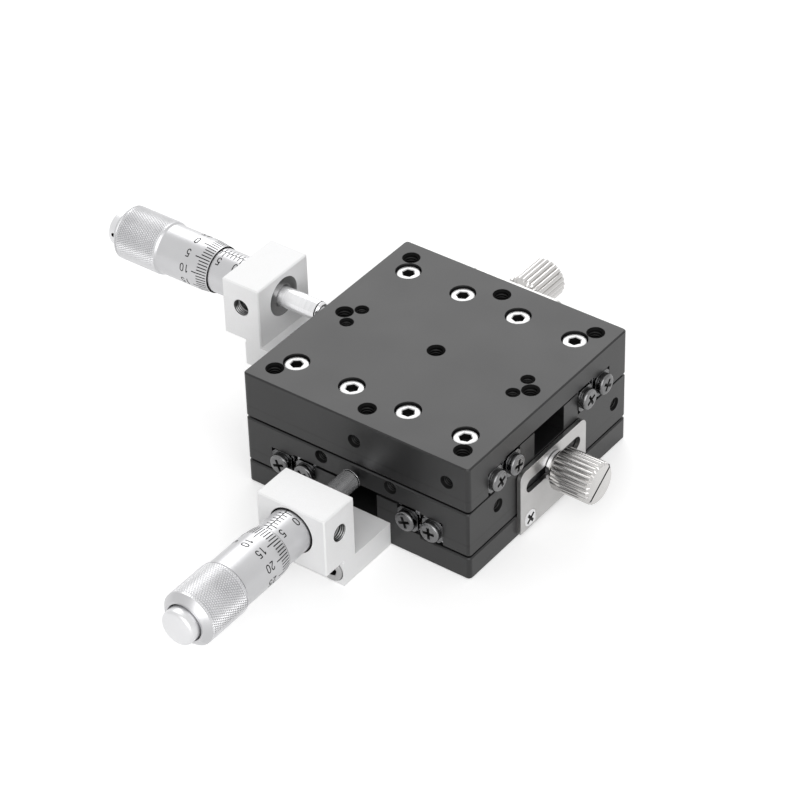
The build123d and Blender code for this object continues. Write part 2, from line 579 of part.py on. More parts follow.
def adjusting_nut():
    """Ring on the rear end of the barrel that takes up play in the thread."""
    start = BARREL_END - NUT_LENGTH
    return revolved([(start, NUT_INNER), (start, BARREL_RADIUS), (BARREL_END, BARREL_RADIUS),
                     (BARREL_END, NUT_INNER)], AXIS_Z)


def ball(radius):
    return Pos(0, -HALF - BALL_CENTRE, AXIS_Z) * Sphere(radius)


def spindle():
    """Round spindle: a nose with a cup for the ball, a plain part and a threaded part."""
    body = revolved([
        (NOSE_START, 0), (NOSE_START, SPINDLE_RADIUS - NOSE_STEP),
        (NOSE_START + NOSE_BEVEL, SPINDLE_RADIUS), (THREAD_START, SPINDLE_RADIUS),
        (THREAD_START, THREAD_RADIUS), (SPINDLE_END, THREAD_RADIUS), (SPINDLE_END, 0)], AXIS_Z)
    return body - ball(BALL_RADIUS + BALL_FIT)


def thimble():
    """Hollow thimble: bevelled edge, plain barrel, knurled grip and a rim round the cap."""
    hub = THREAD_RADIUS + RUNNING_FIT
    return revolved([
        (THIMBLE_EDGE, THIMBLE_BORE), (THIMBLE_EDGE, THIMBLE_BORE + THIMBLE_EDGE_WALL),
        (THIMBLE_EDGE + THIMBLE_BEVEL, THIMBLE_RADIUS), (KNURL_START - KNURL_LEAD, THIMBLE_RADIUS),
        (KNURL_START, KNURL_RADIUS), (KNURL_END, KNURL_RADIUS), (THIMBLE_END, RIM_RADIUS),
        (THIMBLE_END, CAP_RADIUS + CAP_RING), (THIMBLE_END - CAP_SUNK, CAP_RADIUS + CAP_RING),
        (THIMBLE_END - CAP_SUNK, CAP_SPIGOT + RUNNING_FIT),
        (SPINDLE_END + RUNNING_FIT, CAP_SPIGOT + RUNNING_FIT), (SPINDLE_END + RUNNING_FIT, hub),
        (HUB_START, hub), (HUB_START, THIMBLE_BORE)], AXIS_Z)


def end_cap(spanner_angle):
    """Round cap on the thimble's end, with a spigot and a spanner hole in its side."""
    spigot_start = SPINDLE_END + 2 * RUNNING_FIT
    seat = THIMBLE_END - CAP_SUNK
    cap = revolved([(spigot_start, 0), (spigot_start, CAP_SPIGOT), (seat, CAP_SPIGOT),
                    (seat, CAP_RADIUS), (CAP_END, CAP_RADIUS), (CAP_END, 0)], AXIS_Z)
    cap = fillet(cap.edges().group_by(Axis.Y)[0], CAP_ROUND)
    radius, depth = SPANNER_HOLE
    angle = radians(spanner_angle)
    out = Vector(sin(angle), 0, cos(angle))
    middle = Vector(0, -HALF - (THIMBLE_END + CAP_END - CAP_ROUND) / 2, AXIS_Z)
    return cap - rod(middle + out * (CAP_RADIUS - depth), out, radius, CAP_RADIUS)


# ---- Locks ----
def clamp_plate():
    """Slotted sheet on a plate's +X face, in front of the plate above."""
    height = CLAMP_TOP - CLAMP_BOTTOM
    outline = Rectangle(2 * CLAMP_HALF, height)
    top = outline.vertices().sort_by(Axis.Y)[2:]
    outline = fillet(top, CLAMP_CORNER)
    middle_z = (CLAMP_TOP + CLAMP_BOTTOM) / 2
    slot_width = 2 * (STUD_RADIUS + CLEAR_FIT)
    outline -= Pos(0, LOCK_Z - middle_z) * SlotOverall(2 * CLAMP_SLOT_HALF, slot_width)
    sheet = extrude(outline, CLAMP_THICKNESS)
    spot = Plane(origin=(HALF, 0, middle_z), x_dir=(0, 1, 0), z_dir=(1, 0, 0))
    sheet = spot.location * sheet
    mouth = CLAMP_SCREW_HEAD + COUNTERSINK_FIT
    throat = CLAMP_SCREW_SHANK[0] + COUNTERSINK_FIT
    sink = Cone(mouth, throat, CLAMP_THICKNESS, align=(Align.CENTER, Align.CENTER, Align.MIN))
    for side in (-1, 1):
        hole = Plane(origin=(CLAMP_FACE, side * CLAMP_SCREW_Y, CLAMP_SCREW_Z), z_dir=(-1, 0, 0))
        sheet -= hole.location * sink
    return sheet


def clamp_screw(side):
    """Countersunk screw with a cross recess, flush with the clamp plate."""
    head = Cone(CLAMP_SCREW_HEAD, CLAMP_SCREW_SHANK[0], CLAMP_THICKNESS,
                align=(Align.CENTER, Align.CENTER, Align.MIN))
    length = CLAMP_THICKNESS + CLAMP_SCREW_SHANK[1]
    shank = Cylinder(CLAMP_SCREW_SHANK[0], length, align=(Align.CENTER, Align.CENTER, Align.MIN))
    screw = head + shank - Rot(0, 180, 0) * cross_recess(CLAMP_SCREW_TURN * side)
    spot = Plane(origin=(CLAMP_FACE, side * CLAMP_SCREW_Y, CLAMP_SCREW_Z), z_dir=(-1, 0, 0))
    return spot.location * screw


def lock_washer():
    ring = extrude(Circle(WASHER_RADIUS) - Circle(STUD_RADIUS + CLEAR_FIT), WASHER_THICKNESS)
    return Plane(origin=(CLAMP_FACE + LOCK_GAP, 0, LOCK_Z), z_dir=(1, 0, 0)).location * ring


def lock_knob():
    """Fluted thumb knob with its stud, on an axis along +X."""
    points = []
    for i in range(2 * KNOB_FLUTES):
        radius = KNOB_RADIUS - (KNOB_FLUTE_DEPTH if i % 2 else 0)
        angle = pi * i / KNOB_FLUTES
        points.append((radius * cos(angle), radius * sin(angle)))
    grip = extrude(make_face(Polyline(*points, close=True)), KNOB_LENGTH)
    turned = make_face(Polyline(
        (0, 0), (KNOB_SHOULDER, 0), (KNOB_RADIUS, KNOB_SHOULDER_LENGTH),
        (KNOB_RADIUS, KNOB_LENGTH - KNOB_END_CHAMFER), (KNOB_RADIUS - KNOB_END_CHAMFER, KNOB_LENGTH),
        (0, KNOB_LENGTH), close=True))
    grip = grip & revolve(Plane.XZ * turned, Axis.Z)
    width, depth, tilt = KNOB_SLOT
    grip -= Pos(0, 0, KNOB_LENGTH) * Rot(0, 0, tilt) * Box(2 * (KNOB_RADIUS + OVERCUT), width, 2 * depth)
    reach = KNOB_START - HALF + LOCK_RELIEF + STUD_IN_PLATE
    stud = Cylinder(STUD_RADIUS, reach + OVERCUT, align=(Align.CENTER, Align.CENTER, Align.MAX))
    spot = Plane(origin=(KNOB_START, 0, LOCK_Z), x_dir=(0, 1, 0), z_dir=(1, 0, 0))
    return spot.location * (grip + Pos(0, 0, OVERCUT) * stud)


# ---- Every node, by name ----
RAIL_SIDES = {"lower": {"left": -1, "right": 1}, "upper": {"front": 1, "back": -1}}


def rail_nodes(axis, put, outer_bore):
    """Rails, cages and rollers of one axis."""
    nodes = {f"{axis}_rollers": put(Compound(children=rollers()))}
    for name, side in RAIL_SIDES[axis].items():
        nodes[f"{axis}_inner_rail_{name}"] = put(rail(True, side, 1))
        nodes[f"{axis}_outer_rail_{name}"] = put(rail(False, side, outer_bore))
        nodes[f"{axis}_cage_{name}"] = put(cage(side))
    return nodes


def fastener_nodes():
    """Rail screws, cage stops and stop screws, one node for each kind on each plate."""
    seat = SEAT_Z - M2_COUNTERBORE
    inner_screws = rail_screws(INNER_HOLES, seat, (0, 0, -1), M2_SCREW)
    outer_screws = rail_screws(OUTER_HOLES, LAND_Z + M2_COUNTERBORE, (0, 0, 1), M2_SCREW)
    table_screws = rail_screws(OUTER_HOLES, TABLE_SCREW_SEAT - TIER, (0, 0, -1), M3_SCREW)
    groups = {
        "base_rail_screws": inner_screws,
        "middle_rail_screws": outer_screws + [upper(screw) for screw in inner_screws],
        "table_rail_screws": [upper(screw) for screw in table_screws],
    }
    for name, maker in (("cage_stops", stop_plate), ("stop_screws", pan_screw)):
        inner = at_rail_ends(maker, INNER_RAIL)
        outer = at_rail_ends(maker, OUTER_RAIL)
        groups[f"base_{name}"] = inner
        groups[f"middle_{name}"] = outer + [upper(piece) for piece in inner]
        groups[f"table_{name}"] = [upper(piece) for piece in outer]
    return {name: Compound(children=pieces) for name, pieces in groups.items()}


def drive_nodes(axis, put):
    """Micrometer head, its bracket and the return spring of one axis."""
    return {
        f"{axis}_spring_post": put(spring_post(-POST_OFFSET, BASE_THICKNESS, -1)),
        f"{axis}_spring_hanger": put(spring_post(POST_OFFSET, RELIEF_Z, 1)),
        f"{axis}_return_spring": put(return_spring()),
        f"{axis}_bracket": put(bracket()),
        f"{axis}_bracket_screws": put(Compound(children=bracket_screws())),
        f"{axis}_set_screw": put(set_screw()),
        f"{axis}_sleeve": put(sleeve()),
        f"{axis}_adjusting_nut": put(adjusting_nut()),
        f"{axis}_tip_ball": put(ball(BALL_RADIUS)),
        f"{axis}_spindle": put(spindle()),
        f"{axis}_thimble": put(thimble()),
        f"{axis}_end_cap": put(end_cap(SPANNER_ANGLE[axis])),
    }


def lock_nodes(axis, put):
    """Clamp plate, its screws and the locking knob of one axis."""
    return {
        f"{axis}_clamp_plate": put(clamp_plate()),
        f"{axis}_clamp_screws": put(Compound(children=[clamp_screw(-1), clamp_screw(1)])),
        f"{axis}_lock_washer": put(lock_washer()),
        f"{axis}_lock_knob": put(lock_knob()),
    }


def in_place(shape):
    return shape


def build_nodes():
    nodes = {"base_plate": base_plate(), "middle_plate": middle_plate(), "table_plate": table_plate()}
    nodes |= fastener_nodes()
    nodes |= rail_nodes("lower", in_place, -1)
    nodes |= rail_nodes("upper", upper, 0)
    nodes |= drive_nodes("lower", in_place)
    nodes |= drive_nodes("upper", upper)
    nodes |= lock_nodes("lower", in_place)
    nodes |= lock_nodes("upper", upper_lock)
    return nodes


os.makedirs("parts", exist_ok=True)
for node_name, node_shape in build_nodes().items():
    export_step(node_shape, f"parts/{node_name}.step")
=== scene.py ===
import math

import bmesh
import bpy
from mathutils import Matrix, Vector


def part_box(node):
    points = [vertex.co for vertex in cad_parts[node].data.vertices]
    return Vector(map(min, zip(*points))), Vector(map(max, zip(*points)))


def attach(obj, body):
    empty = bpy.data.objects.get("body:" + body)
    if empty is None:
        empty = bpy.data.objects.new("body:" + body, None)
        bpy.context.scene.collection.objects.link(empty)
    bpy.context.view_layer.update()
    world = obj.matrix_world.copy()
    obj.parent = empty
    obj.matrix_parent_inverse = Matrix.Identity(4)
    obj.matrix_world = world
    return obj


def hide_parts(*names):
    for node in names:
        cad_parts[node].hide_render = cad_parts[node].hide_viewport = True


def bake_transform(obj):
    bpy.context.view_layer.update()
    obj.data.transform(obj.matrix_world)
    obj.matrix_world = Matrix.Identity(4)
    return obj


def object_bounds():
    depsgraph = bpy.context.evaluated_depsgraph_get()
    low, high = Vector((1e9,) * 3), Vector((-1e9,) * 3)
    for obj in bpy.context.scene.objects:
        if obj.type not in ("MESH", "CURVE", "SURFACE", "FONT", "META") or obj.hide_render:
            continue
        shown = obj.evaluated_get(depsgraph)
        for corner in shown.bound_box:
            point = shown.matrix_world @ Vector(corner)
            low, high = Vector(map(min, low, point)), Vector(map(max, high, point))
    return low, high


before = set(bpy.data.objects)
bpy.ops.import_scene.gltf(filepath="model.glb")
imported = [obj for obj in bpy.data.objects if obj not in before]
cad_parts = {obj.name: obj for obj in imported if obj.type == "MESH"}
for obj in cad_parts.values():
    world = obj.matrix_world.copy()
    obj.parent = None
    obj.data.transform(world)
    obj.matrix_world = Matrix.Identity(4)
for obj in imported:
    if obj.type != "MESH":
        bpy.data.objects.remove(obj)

# Two-axis micrometer stage: finishes, engraving, knurls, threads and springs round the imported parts.
# Sizes are in millimetres and turn into metres where a mesh is placed.
MM = 0.001
TINY = 1e-6
cad_low, cad_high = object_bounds()

# ---- Camera: fitted to the photograph ----
CAMERA_PLACE = (0.341766, -0.459447, 0.461451)
CAMERA_HEADING = 37.4629    # degrees about Z, from +Y
CAMERA_DIP = 37.8435    # degrees below the horizon
CAMERA_ROLL = -1.7576
CAMERA_LENS = 148.282
SENSOR_WIDTH = 36

# ---- Sleeve: distances along a micrometer are from the plate's side face outwards ----
STEM_RADIUS = 4.78
STEM_MOUTH = 2.9
STEM_END = 0.5    # painted shade: the stem's end face and its mouth are painted a darker steel
FRONT_BORE = 2.45
REAR_BORE = 3.25
REAR_BORE_START = 25.5
BARREL_START = 20.5
BARREL_RADIUS = 5.3
BARREL_LEAD = 1.0    # plain stretch before the engraved one
NUT_SEAT = 4.25
NUT_LENGTH = 4.0

# ---- Thimble and its cap ----
THIMBLE_BORE = 5.45
THIMBLE_EDGE_RADIUS = 5.6
THIMBLE_TAPER = 3.2
THIMBLE_RADIUS = 6.0
THIMBLE_LEAD = 0.1    # plain stretch before the engraved one
THIMBLE_TAIL = (0.4, 0.6)    # from the long lines' end to the engraved stretch's end, and to the next ring
HAIR = 0.02    # allowance where a face is picked by its place
DARK_EDGE = 0.13    # painted shade: the mouth is painted black this far up its taper
HUB_LENGTH = 4.0    # from the hub's start to the thimble's end
RIM_LENGTH = 1.6
RIM_RADIUS = 5.0
KNURL_LENGTH = 11.4
KNURL_LEAD = 0.5
KNURL_DEPTH = 0.24
KNURL_COUNT = 68
KNURL_ROWS = 21
KNURL_TOP = 0.12    # share of a diamond that its flat top takes
KNURL_FRONT = (0.05, 0.1)    # the shoulder before the knurl: its distance, and how far below the knurl
KNURL_BACK = (0.15, 0.05)    # the same behind it
CAP_GAP = 0.12    # gap beside the cap, its floor painted black as shade
CAP_RING = 0.35    # width of the recess round the cap, at its mouth
CAP_SUNK = 0.6
RING_SHADE = 0.38    # painted shade: the gap beside the cap is painted black below this depth
CAP_SPIGOT = 2.0
SPIGOT_HOLE = (1.4, 0.05)    # depth and clearance of the hole for the spigot
CAP_ROUND = 0.8
CAP_DOME = 0.2    # the cap's face bulges this much
ROUND_END = 80    # degrees of the cap's rounding, before its dome
SPANNER_HOLE = (0.5, 1.8)    # radius, depth
SPANNER_ANGLE = {"lower": 230, "upper": 82}    # degrees from the top, towards the near side

# ---- Spindle ----
SPINDLE_RADIUS = 2.4
SPINDLE_THREAD = 3.2
SPINDLE_THREAD_START = 34.0
NOSE_RADIUS = 2.0
NOSE_BEVEL = 0.5
NOSE_GROOVE = (0.12, 0.3, 0.1)    # distance behind the bevel, width, depth; the groove is painted black as shade
CUP = (1.55, 1.53)    # centre and radius of the cup for the ball

# ---- Engraving: angles in degrees from the top towards the near side ----
DATUM_ANGLE = {"lower": -6.0, "upper": -2.8}
DATUM_OVERRUN = (1.0, 1.2)    # past the first and the last tick
READINGS = {"lower": 6.597, "upper": 6.49}
MEASURING_RANGE = 13
LINE_WIDTH = 0.2
LINE_DEPTH = 0.05
LINE_WALL = 0.015
SLEEVE_TICK = 1.25
SLEEVE_LONG_TICK = 1.7
SLEEVE_HALF_TICK = 1.35
SLEEVE_NUMBER_ANGLE = 30.0
ZERO_SHIFT = 0.4    # the sleeve's 0 stands clear of the bracket
THREAD_STEP = 0.5    # travel for one turn
DIVISIONS = 50
DIVISION_START = 0.35    # from the thimble's edge
DIVISION_SHORT = 2.9
DIVISION_LONG = 4.2
NUMBER_CENTRE = 6.3    # from the thimble's edge
DIGIT_HEIGHT = 1.8
DIGIT_WIDTH = 0.98
DIGIT_GAP = 0.36
STROKE_WIDTH = 0.24
STROKE_PROUD = 0.008
STROKE_SUNK = 0.03
STROKE_STEP = 0.12

# ---- Edges, and how finely round things are divided ----
EASE = 0.08    # small round on machined edges
FINE_EASE = {"thimble": 0.05, "spindle": 0.03}
EASE_STEPS = (0.0, 0.35, 0.65, 1.0)
EASE_SHARE = 0.4    # of the shorter side, at most
STRAIGHT = 0.03    # sine of a turn that is too small to round
CREASE = math.radians(28)
FINE_ROUND = 180
ROUND = 120
SCREW_ROUND = 72
HOLE_ROUND = 24
ENGRAVED_STEP = {"sleeve": 2.0, "thimble": 1.5}

# ---- Return springs ----
SPRING_RADIUS = 2.1    # to the wire's centre
SPRING_WIRE = 0.3
SPRING_TURNS = 33
SPRING_STEPS = 20    # points to a turn
SPRING_SIDES = 8
SPRING_NECK = 2.5    # from a hook's ring to the first coil
SPRING_END = 0.4    # share of the full radius where the coils begin
SPRING_LEAD = ((0.1, 0.0, 1.2), (0.5, 0.2, 0.4))    # wire between hook and coils: X, Y, distance off
POST_RADIUS = 1.25
POST_GAP = 0.25
HOOK_TURN = math.radians(324)
HOOK_STEPS = 16

# ---- Lock knobs: a profile row is distance, radius, and how deep the flutes are there ----
KNOB_FLUTES = 24
FLUTE_POINTS = 8
FLUTE_DEPTH = 0.45
FLUTE_POWER = 0.8
STUD_RADIUS = 1.45
STUD_CHAMFER = 0.15
# A knob's outline: rows of a distance, a radius and the share of the flutes' depth that is cut there
KNOB_SHOULDER = ((0, 3.8, 0), (0.1, 3.9, 0), (0.35, 3.9, 0))    # distance from the washer
KNOB_GRIP = ((1.0, 0.25, 0.3), (1.25, 0, 1), (4, 0, 1))    # the same, and the radius is an inset here
KNOB_END = ((3, 0, 1), (0.5, 0, 1), (0.1, 0.45, 0.4), (0, 0.62, 0))    # from the end, with an inset
KNOB_SLOT = (0.6, 1.2, 34.0)    # width, depth, tilt in degrees
SLOT_REACH = 9

# ---- Screws ----
M3_HEAD = (2.75, 3.0, 2.5)    # radius, height, hexagon
M3_SHANK = 1.45
M3_TIP = (0.3, 0.25)    # length and depth of the chamfer on a screw's tip
M3_EDGE = ((0, 0.1), (0.1, 0))    # height above the seat, and how far inside the rim
M3_BEVEL = ((0.3, 0), (0.1, 0.1), (0, 0.4))    # depth below the top, and how far inside the rim
M3_SOCKET = ((0, 0.2), (0.16, 0), (1.5, 0))    # depth below the top, and how much wider than the hexagon
SOCKET_POINT = 0.35
PAN_HEAD = (2.5, 1.5, 1.2, 0.6)    # radius, height, shank radius, rounding
PAN_EDGE = 0.08
CLAMP_HEAD = (2.2, 1.0, 1.2)    # radius, depth, shank radius
CLAMP_EDGE = ((0.4, 0), (0.1, 0.15), (0, 0.4))    # depth below the top, and how far inside the rim
CROSS_TIP = (0.3, 0.2)
CROSS = (1.5, 0.36, 0.8)    # reach, half width and depth of a cross recess
CROSS_TAPER = (0.5, 0.7)    # share of its reach and of its half width at the bottom
SCREW_TURN = 37    # degrees from one screw of a row to the next

# ---- Tapped holes ----
M4_THREAD = (1.65, 2.1, 0.7, 6)    # radius of the bore and of its mouth, pitch, turns
M3_THREAD = (1.25, 1.65, 0.5, 6)
M3_SIDE_THREAD = (1.25, 1.65, 0.5, 4)
SET_THREAD = (2.0, 2.0, 0.5, 3)
GRID = (-25.0, 0, 25.0)
SMALL_TAPS = (22.3, 2.8)
FRONT_TAPS = {    # X and Z
    "table": ((0, 24.4), (24.3, 24.4)),
    "middle": ((-9.25, 15.9), (9.25, 15.9)),
}
SIDE_TAPS = ((-19.2, 13.4), (25.5, 12.0))    # Y and Z of the holes in the middle plate's +X face
THREAD_HEIGHT = 0.15
THREAD_FLANK = 0.36    # half the ridge's width, as a share of the pitch
THREAD_LEAD = 0.1
THREAD_FLOOR = 0.2    # from the last turn to the hole's end
THREAD_STEPS = 36    # points to a turn
THREAD_FADE = 9    # points over which the ridge begins and ends
LINING_GAP = 0.01    # between a hole and its lining
LINING_WALL = 0.025
LINING_ROUND = 40
BRACKET_HALF = 9.0
BLOCK_NEAR = 12.2
RECESS = (5.68, 20.3)    # radius and start of the recess round the barrel, inside which the bracket is painted near black as shade


# ---- Mesh helpers ----
def local_frame(origin, out):
    """From millimetres along (near, up, out) to metres, at a point on an axis."""
    up = Vector((0, 0, 1))
    near = up.cross(Vector(out))
    turned = Matrix((near, up, Vector(out))).transposed().to_4x4()
    return Matrix.Translation(origin) @ turned @ Matrix.Scale(MM, 4)


def eased(outline, size=EASE):
    """An open outline with each corner cut back and rounded a little."""
    points = [Vector(p) for p in outline]
    result = [points[0]]
    for last, corner, following in zip(points, points[1:], points[2:]):
        before = last - corner
        after = following - corner
        if abs(before.normalized().cross(after.normalized())) < STRAIGHT:
            result.append(corner)
            continue
        cut = min(size, EASE_SHARE * before.length, EASE_SHARE * after.length)
        start = corner + before.normalized() * cut
        end = corner + after.normalized() * cut
        result += [start * (1 - t) ** 2 + corner * 2 * t * (1 - t) + end * t * t for t in EASE_STEPS]
    result.append(points[-1])
    return [(p.x, p.y) for p in result]


def even_angles(count):
    return [2 * math.pi * i / count for i in range(count)]


class Shell:
    """Points and faces of a solid, mostly rings round an axis."""

    def __init__(self):
        self.points = []
        self.faces = []
        self.paints = []

    def point(self, x, y, z):
        self.points.append((x, y, z))
        return len(self.points) - 1

    def face(self, corners, paint=0):
        self.faces.append(tuple(corners))
        self.paints.append(paint)

    def ring(self, s, radius, angles):
        """A ring at distance s; radius is one number or one for each angle."""
        if isinstance(radius, (int, float)):
            if radius < TINY:
                return [0.0], [self.point(0, 0, s)]
            radius = [radius] * len(angles)
        return list(angles), [self.point(r * math.sin(a), r * math.cos(a), s)
                              for r, a in zip(radius, angles)]

    def circle(self, centre, side, other, radius, count):
        """A row of points round a centre, in the plane of two directions."""
        return [self.point(*(centre + (side * math.cos(a) + other * math.sin(a)) * radius))
                for a in even_angles(count)]

    def strip(self, first, second, paint=0):
        """Quads between two closed rows of as many points."""
        count = len(first)
        for i in range(count):
            k = (i + 1) % count
            self.face((first[i], first[k], second[k], second[i]), paint)

    def stack(self, rows, paint=0):
        """A closed solid through rows of points, flat at both ends."""
        for first, second in zip(rows, rows[1:]):
            self.strip(first, second, paint)
        self.face(rows[0], paint)
        self.face(rows[-1], paint)

    def join(self, first, second, paint=0):
        """Faces between two rings: quads where their angles agree, else triangles."""
        if len(first[1]) == 1:
            first, second = second, first
        (angles_a, ring_a), (angles_b, ring_b) = first, second
        count_a, count_b = len(ring_a), len(ring_b)
        if count_b == 1:
            for i in range(count_a):
                self.face((ring_a[i], ring_a[(i + 1) % count_a], ring_b[0]), paint)
            return
        if angles_a == angles_b:
            self.strip(ring_a, ring_b, paint)
            return
        i = j = 0
        while i < count_a or j < count_b:
            next_a = angles_a[i + 1] if i + 1 < count_a else angles_a[0] + 2 * math.pi
            next_b = angles_b[j + 1] if j + 1 < count_b else angles_b[0] + 2 * math.pi
            if j >= count_b or (i < count_a and next_a <= next_b):
                self.face((ring_a[i % count_a], ring_a[(i + 1) % count_a], ring_b[j % count_b]), paint)
                i += 1
            else:
                self.face((ring_a[i % count_a], ring_b[(j + 1) % count_b], ring_b[j % count_b]), paint)
                j += 1

    def lathe(self, outline, angles):
        """Rings along an open outline of (distance, radius) points."""
        rings = [self.ring(s, r, angles) for s, r in outline]
        for first, second in zip(rings, rings[1:]):
            self.join(first, second)
        return rings

    def repaint(self, paint, picked):
        """Paints the faces whose middle is picked by its distances from the axis and along it."""
        for i, corners in enumerate(self.faces):
            centre = sum((Vector(self.points[c]) for c in corners), Vector()) / len(corners)
            if picked(math.hypot(centre.x, centre.y), centre.z):
                self.paints[i] = paint

    def move(self, first, placed):
        """Places the points from number first on."""
        for i in range(first, len(self.points)):
            self.points[i] = tuple(placed @ Vector(self.points[i]))

    def make(self, name, placed, materials):
        """The mesh as an object, in metres, with hard edges where faces meet at an angle."""
        mesh = bpy.data.meshes.new(name)
        mesh.from_pydata([placed @ Vector(p) for p in self.points], [], self.faces)
        for polygon, paint in zip(mesh.polygons, self.paints):
            polygon.material_index = paint
            polygon.use_smooth = True
        for material in materials:
            mesh.materials.append(material)
        tidy_mesh(mesh)
        return add_object(name, mesh)


def add_object(name, data):
    made = bpy.data.objects.new(name, data)
    bpy.context.scene.collection.objects.link(made)
    return made


def tidy_mesh(mesh):
    """Faces look outwards, and edges sharper than the crease angle stay hard."""
    work = bmesh.new()
    work.from_mesh(mesh)
    bmesh.ops.recalc_face_normals(work, faces=work.faces)
    for edge in work.edges:
        edge.smooth = len(edge.link_faces) != 2 or edge.calc_face_angle(0) < CREASE
    work.to_mesh(mesh)
    work.free()


def cut_away(piece, tool):
    """Cuts one closed mesh out of another, for good."""
    cut = piece.modifiers.new("cut", "BOOLEAN")
    cut.operation = "DIFFERENCE"
    cut.solver = "EXACT"
    cut.object = tool
    bpy.context.view_layer.update()
    evaluated = piece.evaluated_get(bpy.context.evaluated_depsgraph_get())
    mesh = bpy.data.meshes.new_from_object(evaluated)
    piece.modifiers.clear()
    piece.data = mesh
    bpy.data.objects.remove(tool)
    tidy_mesh(mesh)


# ---- Materials ----
SPREAD = (0.3, 0.7)    # where most of a noise's values lie
GRAIN_SPAN = (0.2, 0.8)
BRUSHED_SPAN = (0.15, 0.85)
CLOUDS = 90.0
BRUSHED_CLOUDS = 120.0
GRAIN_RELIEF = 0.3    # height of the relief, as a share of the grain
WORN_EDGE = 0.0001    # metres of rounding that shows on an edge
# Half the height of the painted shade in each seam between plates
SEAM_SHADE_HALF = 0.27
# Painted shade: the near black painted inside bores
BORE_SHADE_TONE = (0.02, 0.02, 0.02)
# Near black painted as shade in the seams between plates
SEAM_SHADE_TONE = (0.003, 0.003, 0.003)


def shader_node(tree, kind, output, operation=None, inputs=()):
    """One output of a new node; an input is linked where it is given as a socket, else set."""
    node = tree.nodes.new(f"ShaderNode{kind}")
    if operation:
        node.operation = operation
    for name, value in dict(inputs).items():
        if isinstance(value, bpy.types.NodeSocket):
            tree.links.new(value, node.inputs[name])
        else:
            node.inputs[name].default_value = value
    return node.outputs[output]


def maths(tree, operation, *sides):
    """The value of a Math node fed by sockets or numbers."""
    return shader_node(tree, "Math", "Value", operation, enumerate(sides))


class Finish:
    """A procedural material on the Principled shader."""

    def __init__(self, name, metallic, specular=0.5):
        self.material = bpy.data.materials.new(name)
        self.material.use_nodes = True
        self.tree = self.material.node_tree
        self.shader = self.tree.nodes["Principled BSDF"]
        self.shader.inputs["Metallic"].default_value = metallic
        self.shader.inputs["Specular IOR Level"].default_value = specular
        self.place = shader_node(self.tree, "TexCoord", "Object")

    def into(self, name, output):
        self.tree.links.new(output, self.shader.inputs[name])

    def stretched(self, scale):
        """Coordinates scaled by a different amount along each axis."""
        return shader_node(self.tree, "Mapping", "Vector", inputs={"Scale": scale, "Vector": self.place})

    def noise(self, scale, detail=2.0, place=None):
        return shader_node(self.tree, "TexNoise", "Fac",
                           inputs={"Scale": scale, "Detail": detail, "Vector": place or self.place})

    def between(self, value, low, high):
        return shader_node(self.tree, "MapRange", "Result",
                           inputs={"Value": value, "From Min": SPREAD[0], "From Max": SPREAD[1],
                                   "To Min": low, "To Max": high})

    def colour(self, value, dark, light, span):
        node = self.tree.nodes.new("ShaderNodeValToRGB")
        for element, position, tone in zip(node.color_ramp.elements, span, (dark, light)):
            element.position = position
            element.color = (*tone, 1)
        self.tree.links.new(value, node.inputs["Fac"])
        self.into("Base Color", node.outputs["Color"])

    def roughness(self, value, low, high):
        self.into("Roughness", self.between(value, low, high))

    def blend(self, fine, fine_share, cloud, cloud_share):
        """Two noises in one, each with its share."""
        return maths(self.tree, "ADD", self.between(fine, 0.0, fine_share),
                     self.between(cloud, 0.0, cloud_share))

    def vector(self, operation, output, *sides):
        return shader_node(self.tree, "VectorMath", output, operation, enumerate(sides))

    def inside(self, centre, out, radius, start):
        """1 within a radius of an axis through a centre and beyond a start along it, else 0."""
        away = self.vector("SUBTRACT", "Vector", self.place, centre)
        across = self.vector("MULTIPLY", "Vector", away, [1 - abs(c) for c in out])
        near = maths(self.tree, "LESS_THAN", self.vector("LENGTH", "Value", across), radius)
        past = maths(self.tree, "GREATER_THAN", self.vector("DOT_PRODUCT", "Value", away, out), start)
        return maths(self.tree, "MULTIPLY", near, past)

    def near_height(self, height, half):
        """1 within half of a height, else 0."""
        level = shader_node(self.tree, "SeparateXYZ", "Z", inputs={"Vector": self.place})
        return maths(self.tree, "COMPARE", level, height, half)

    def darken(self, mask, dark):
        """The colour so far, and a painted shade of a dark colour where the mask is 1."""
        before = self.shader.inputs["Base Color"].links[0].from_socket
        mixed = {"Fac": mask, "Color1": before, "Color2": (*dark, 1)}
        self.into("Base Color", shader_node(self.tree, "MixRGB", "Color", inputs=mixed))

    def bump(self, height, strength, distance, edge=0.0):
        inputs = {"Strength": strength, "Distance": distance, "Height": height}
        if edge:
            inputs["Normal"] = shader_node(self.tree, "Bevel", "Normal", inputs={"Radius": edge})
        self.into("Normal", shader_node(self.tree, "Bump", "Normal", inputs=inputs))


def grained(name, metallic, dark, light, rough, grain, strength, edge=0.0, specular=0.5, shaded_bores=(),
            shaded_seams=()):
    """A blasted or plated surface: cloudy tone, fine grain in the gloss and in the relief.

    It has shade painted near black inside bores, each given as a centre, a direction, a radius and a
    start, and in the seams between plates, each given as a height and half its width."""
    finish = Finish(name, metallic, specular)
    fine = finish.noise(1 / (grain * MM))
    cloud = finish.noise(CLOUDS, 3.0)
    finish.colour(finish.blend(fine, 0.5, cloud, 0.5), dark, light, GRAIN_SPAN)
    # Painted shade inside bores and in the seams between plates
    for bore in shaded_bores:
        finish.darken(finish.inside(*bore), BORE_SHADE_TONE)
    for height, half in shaded_seams:
        finish.darken(finish.near_height(height, half), SEAM_SHADE_TONE)
    finish.roughness(cloud, *rough)
    finish.bump(fine, strength, grain * MM * GRAIN_RELIEF, edge)
    return finish.material


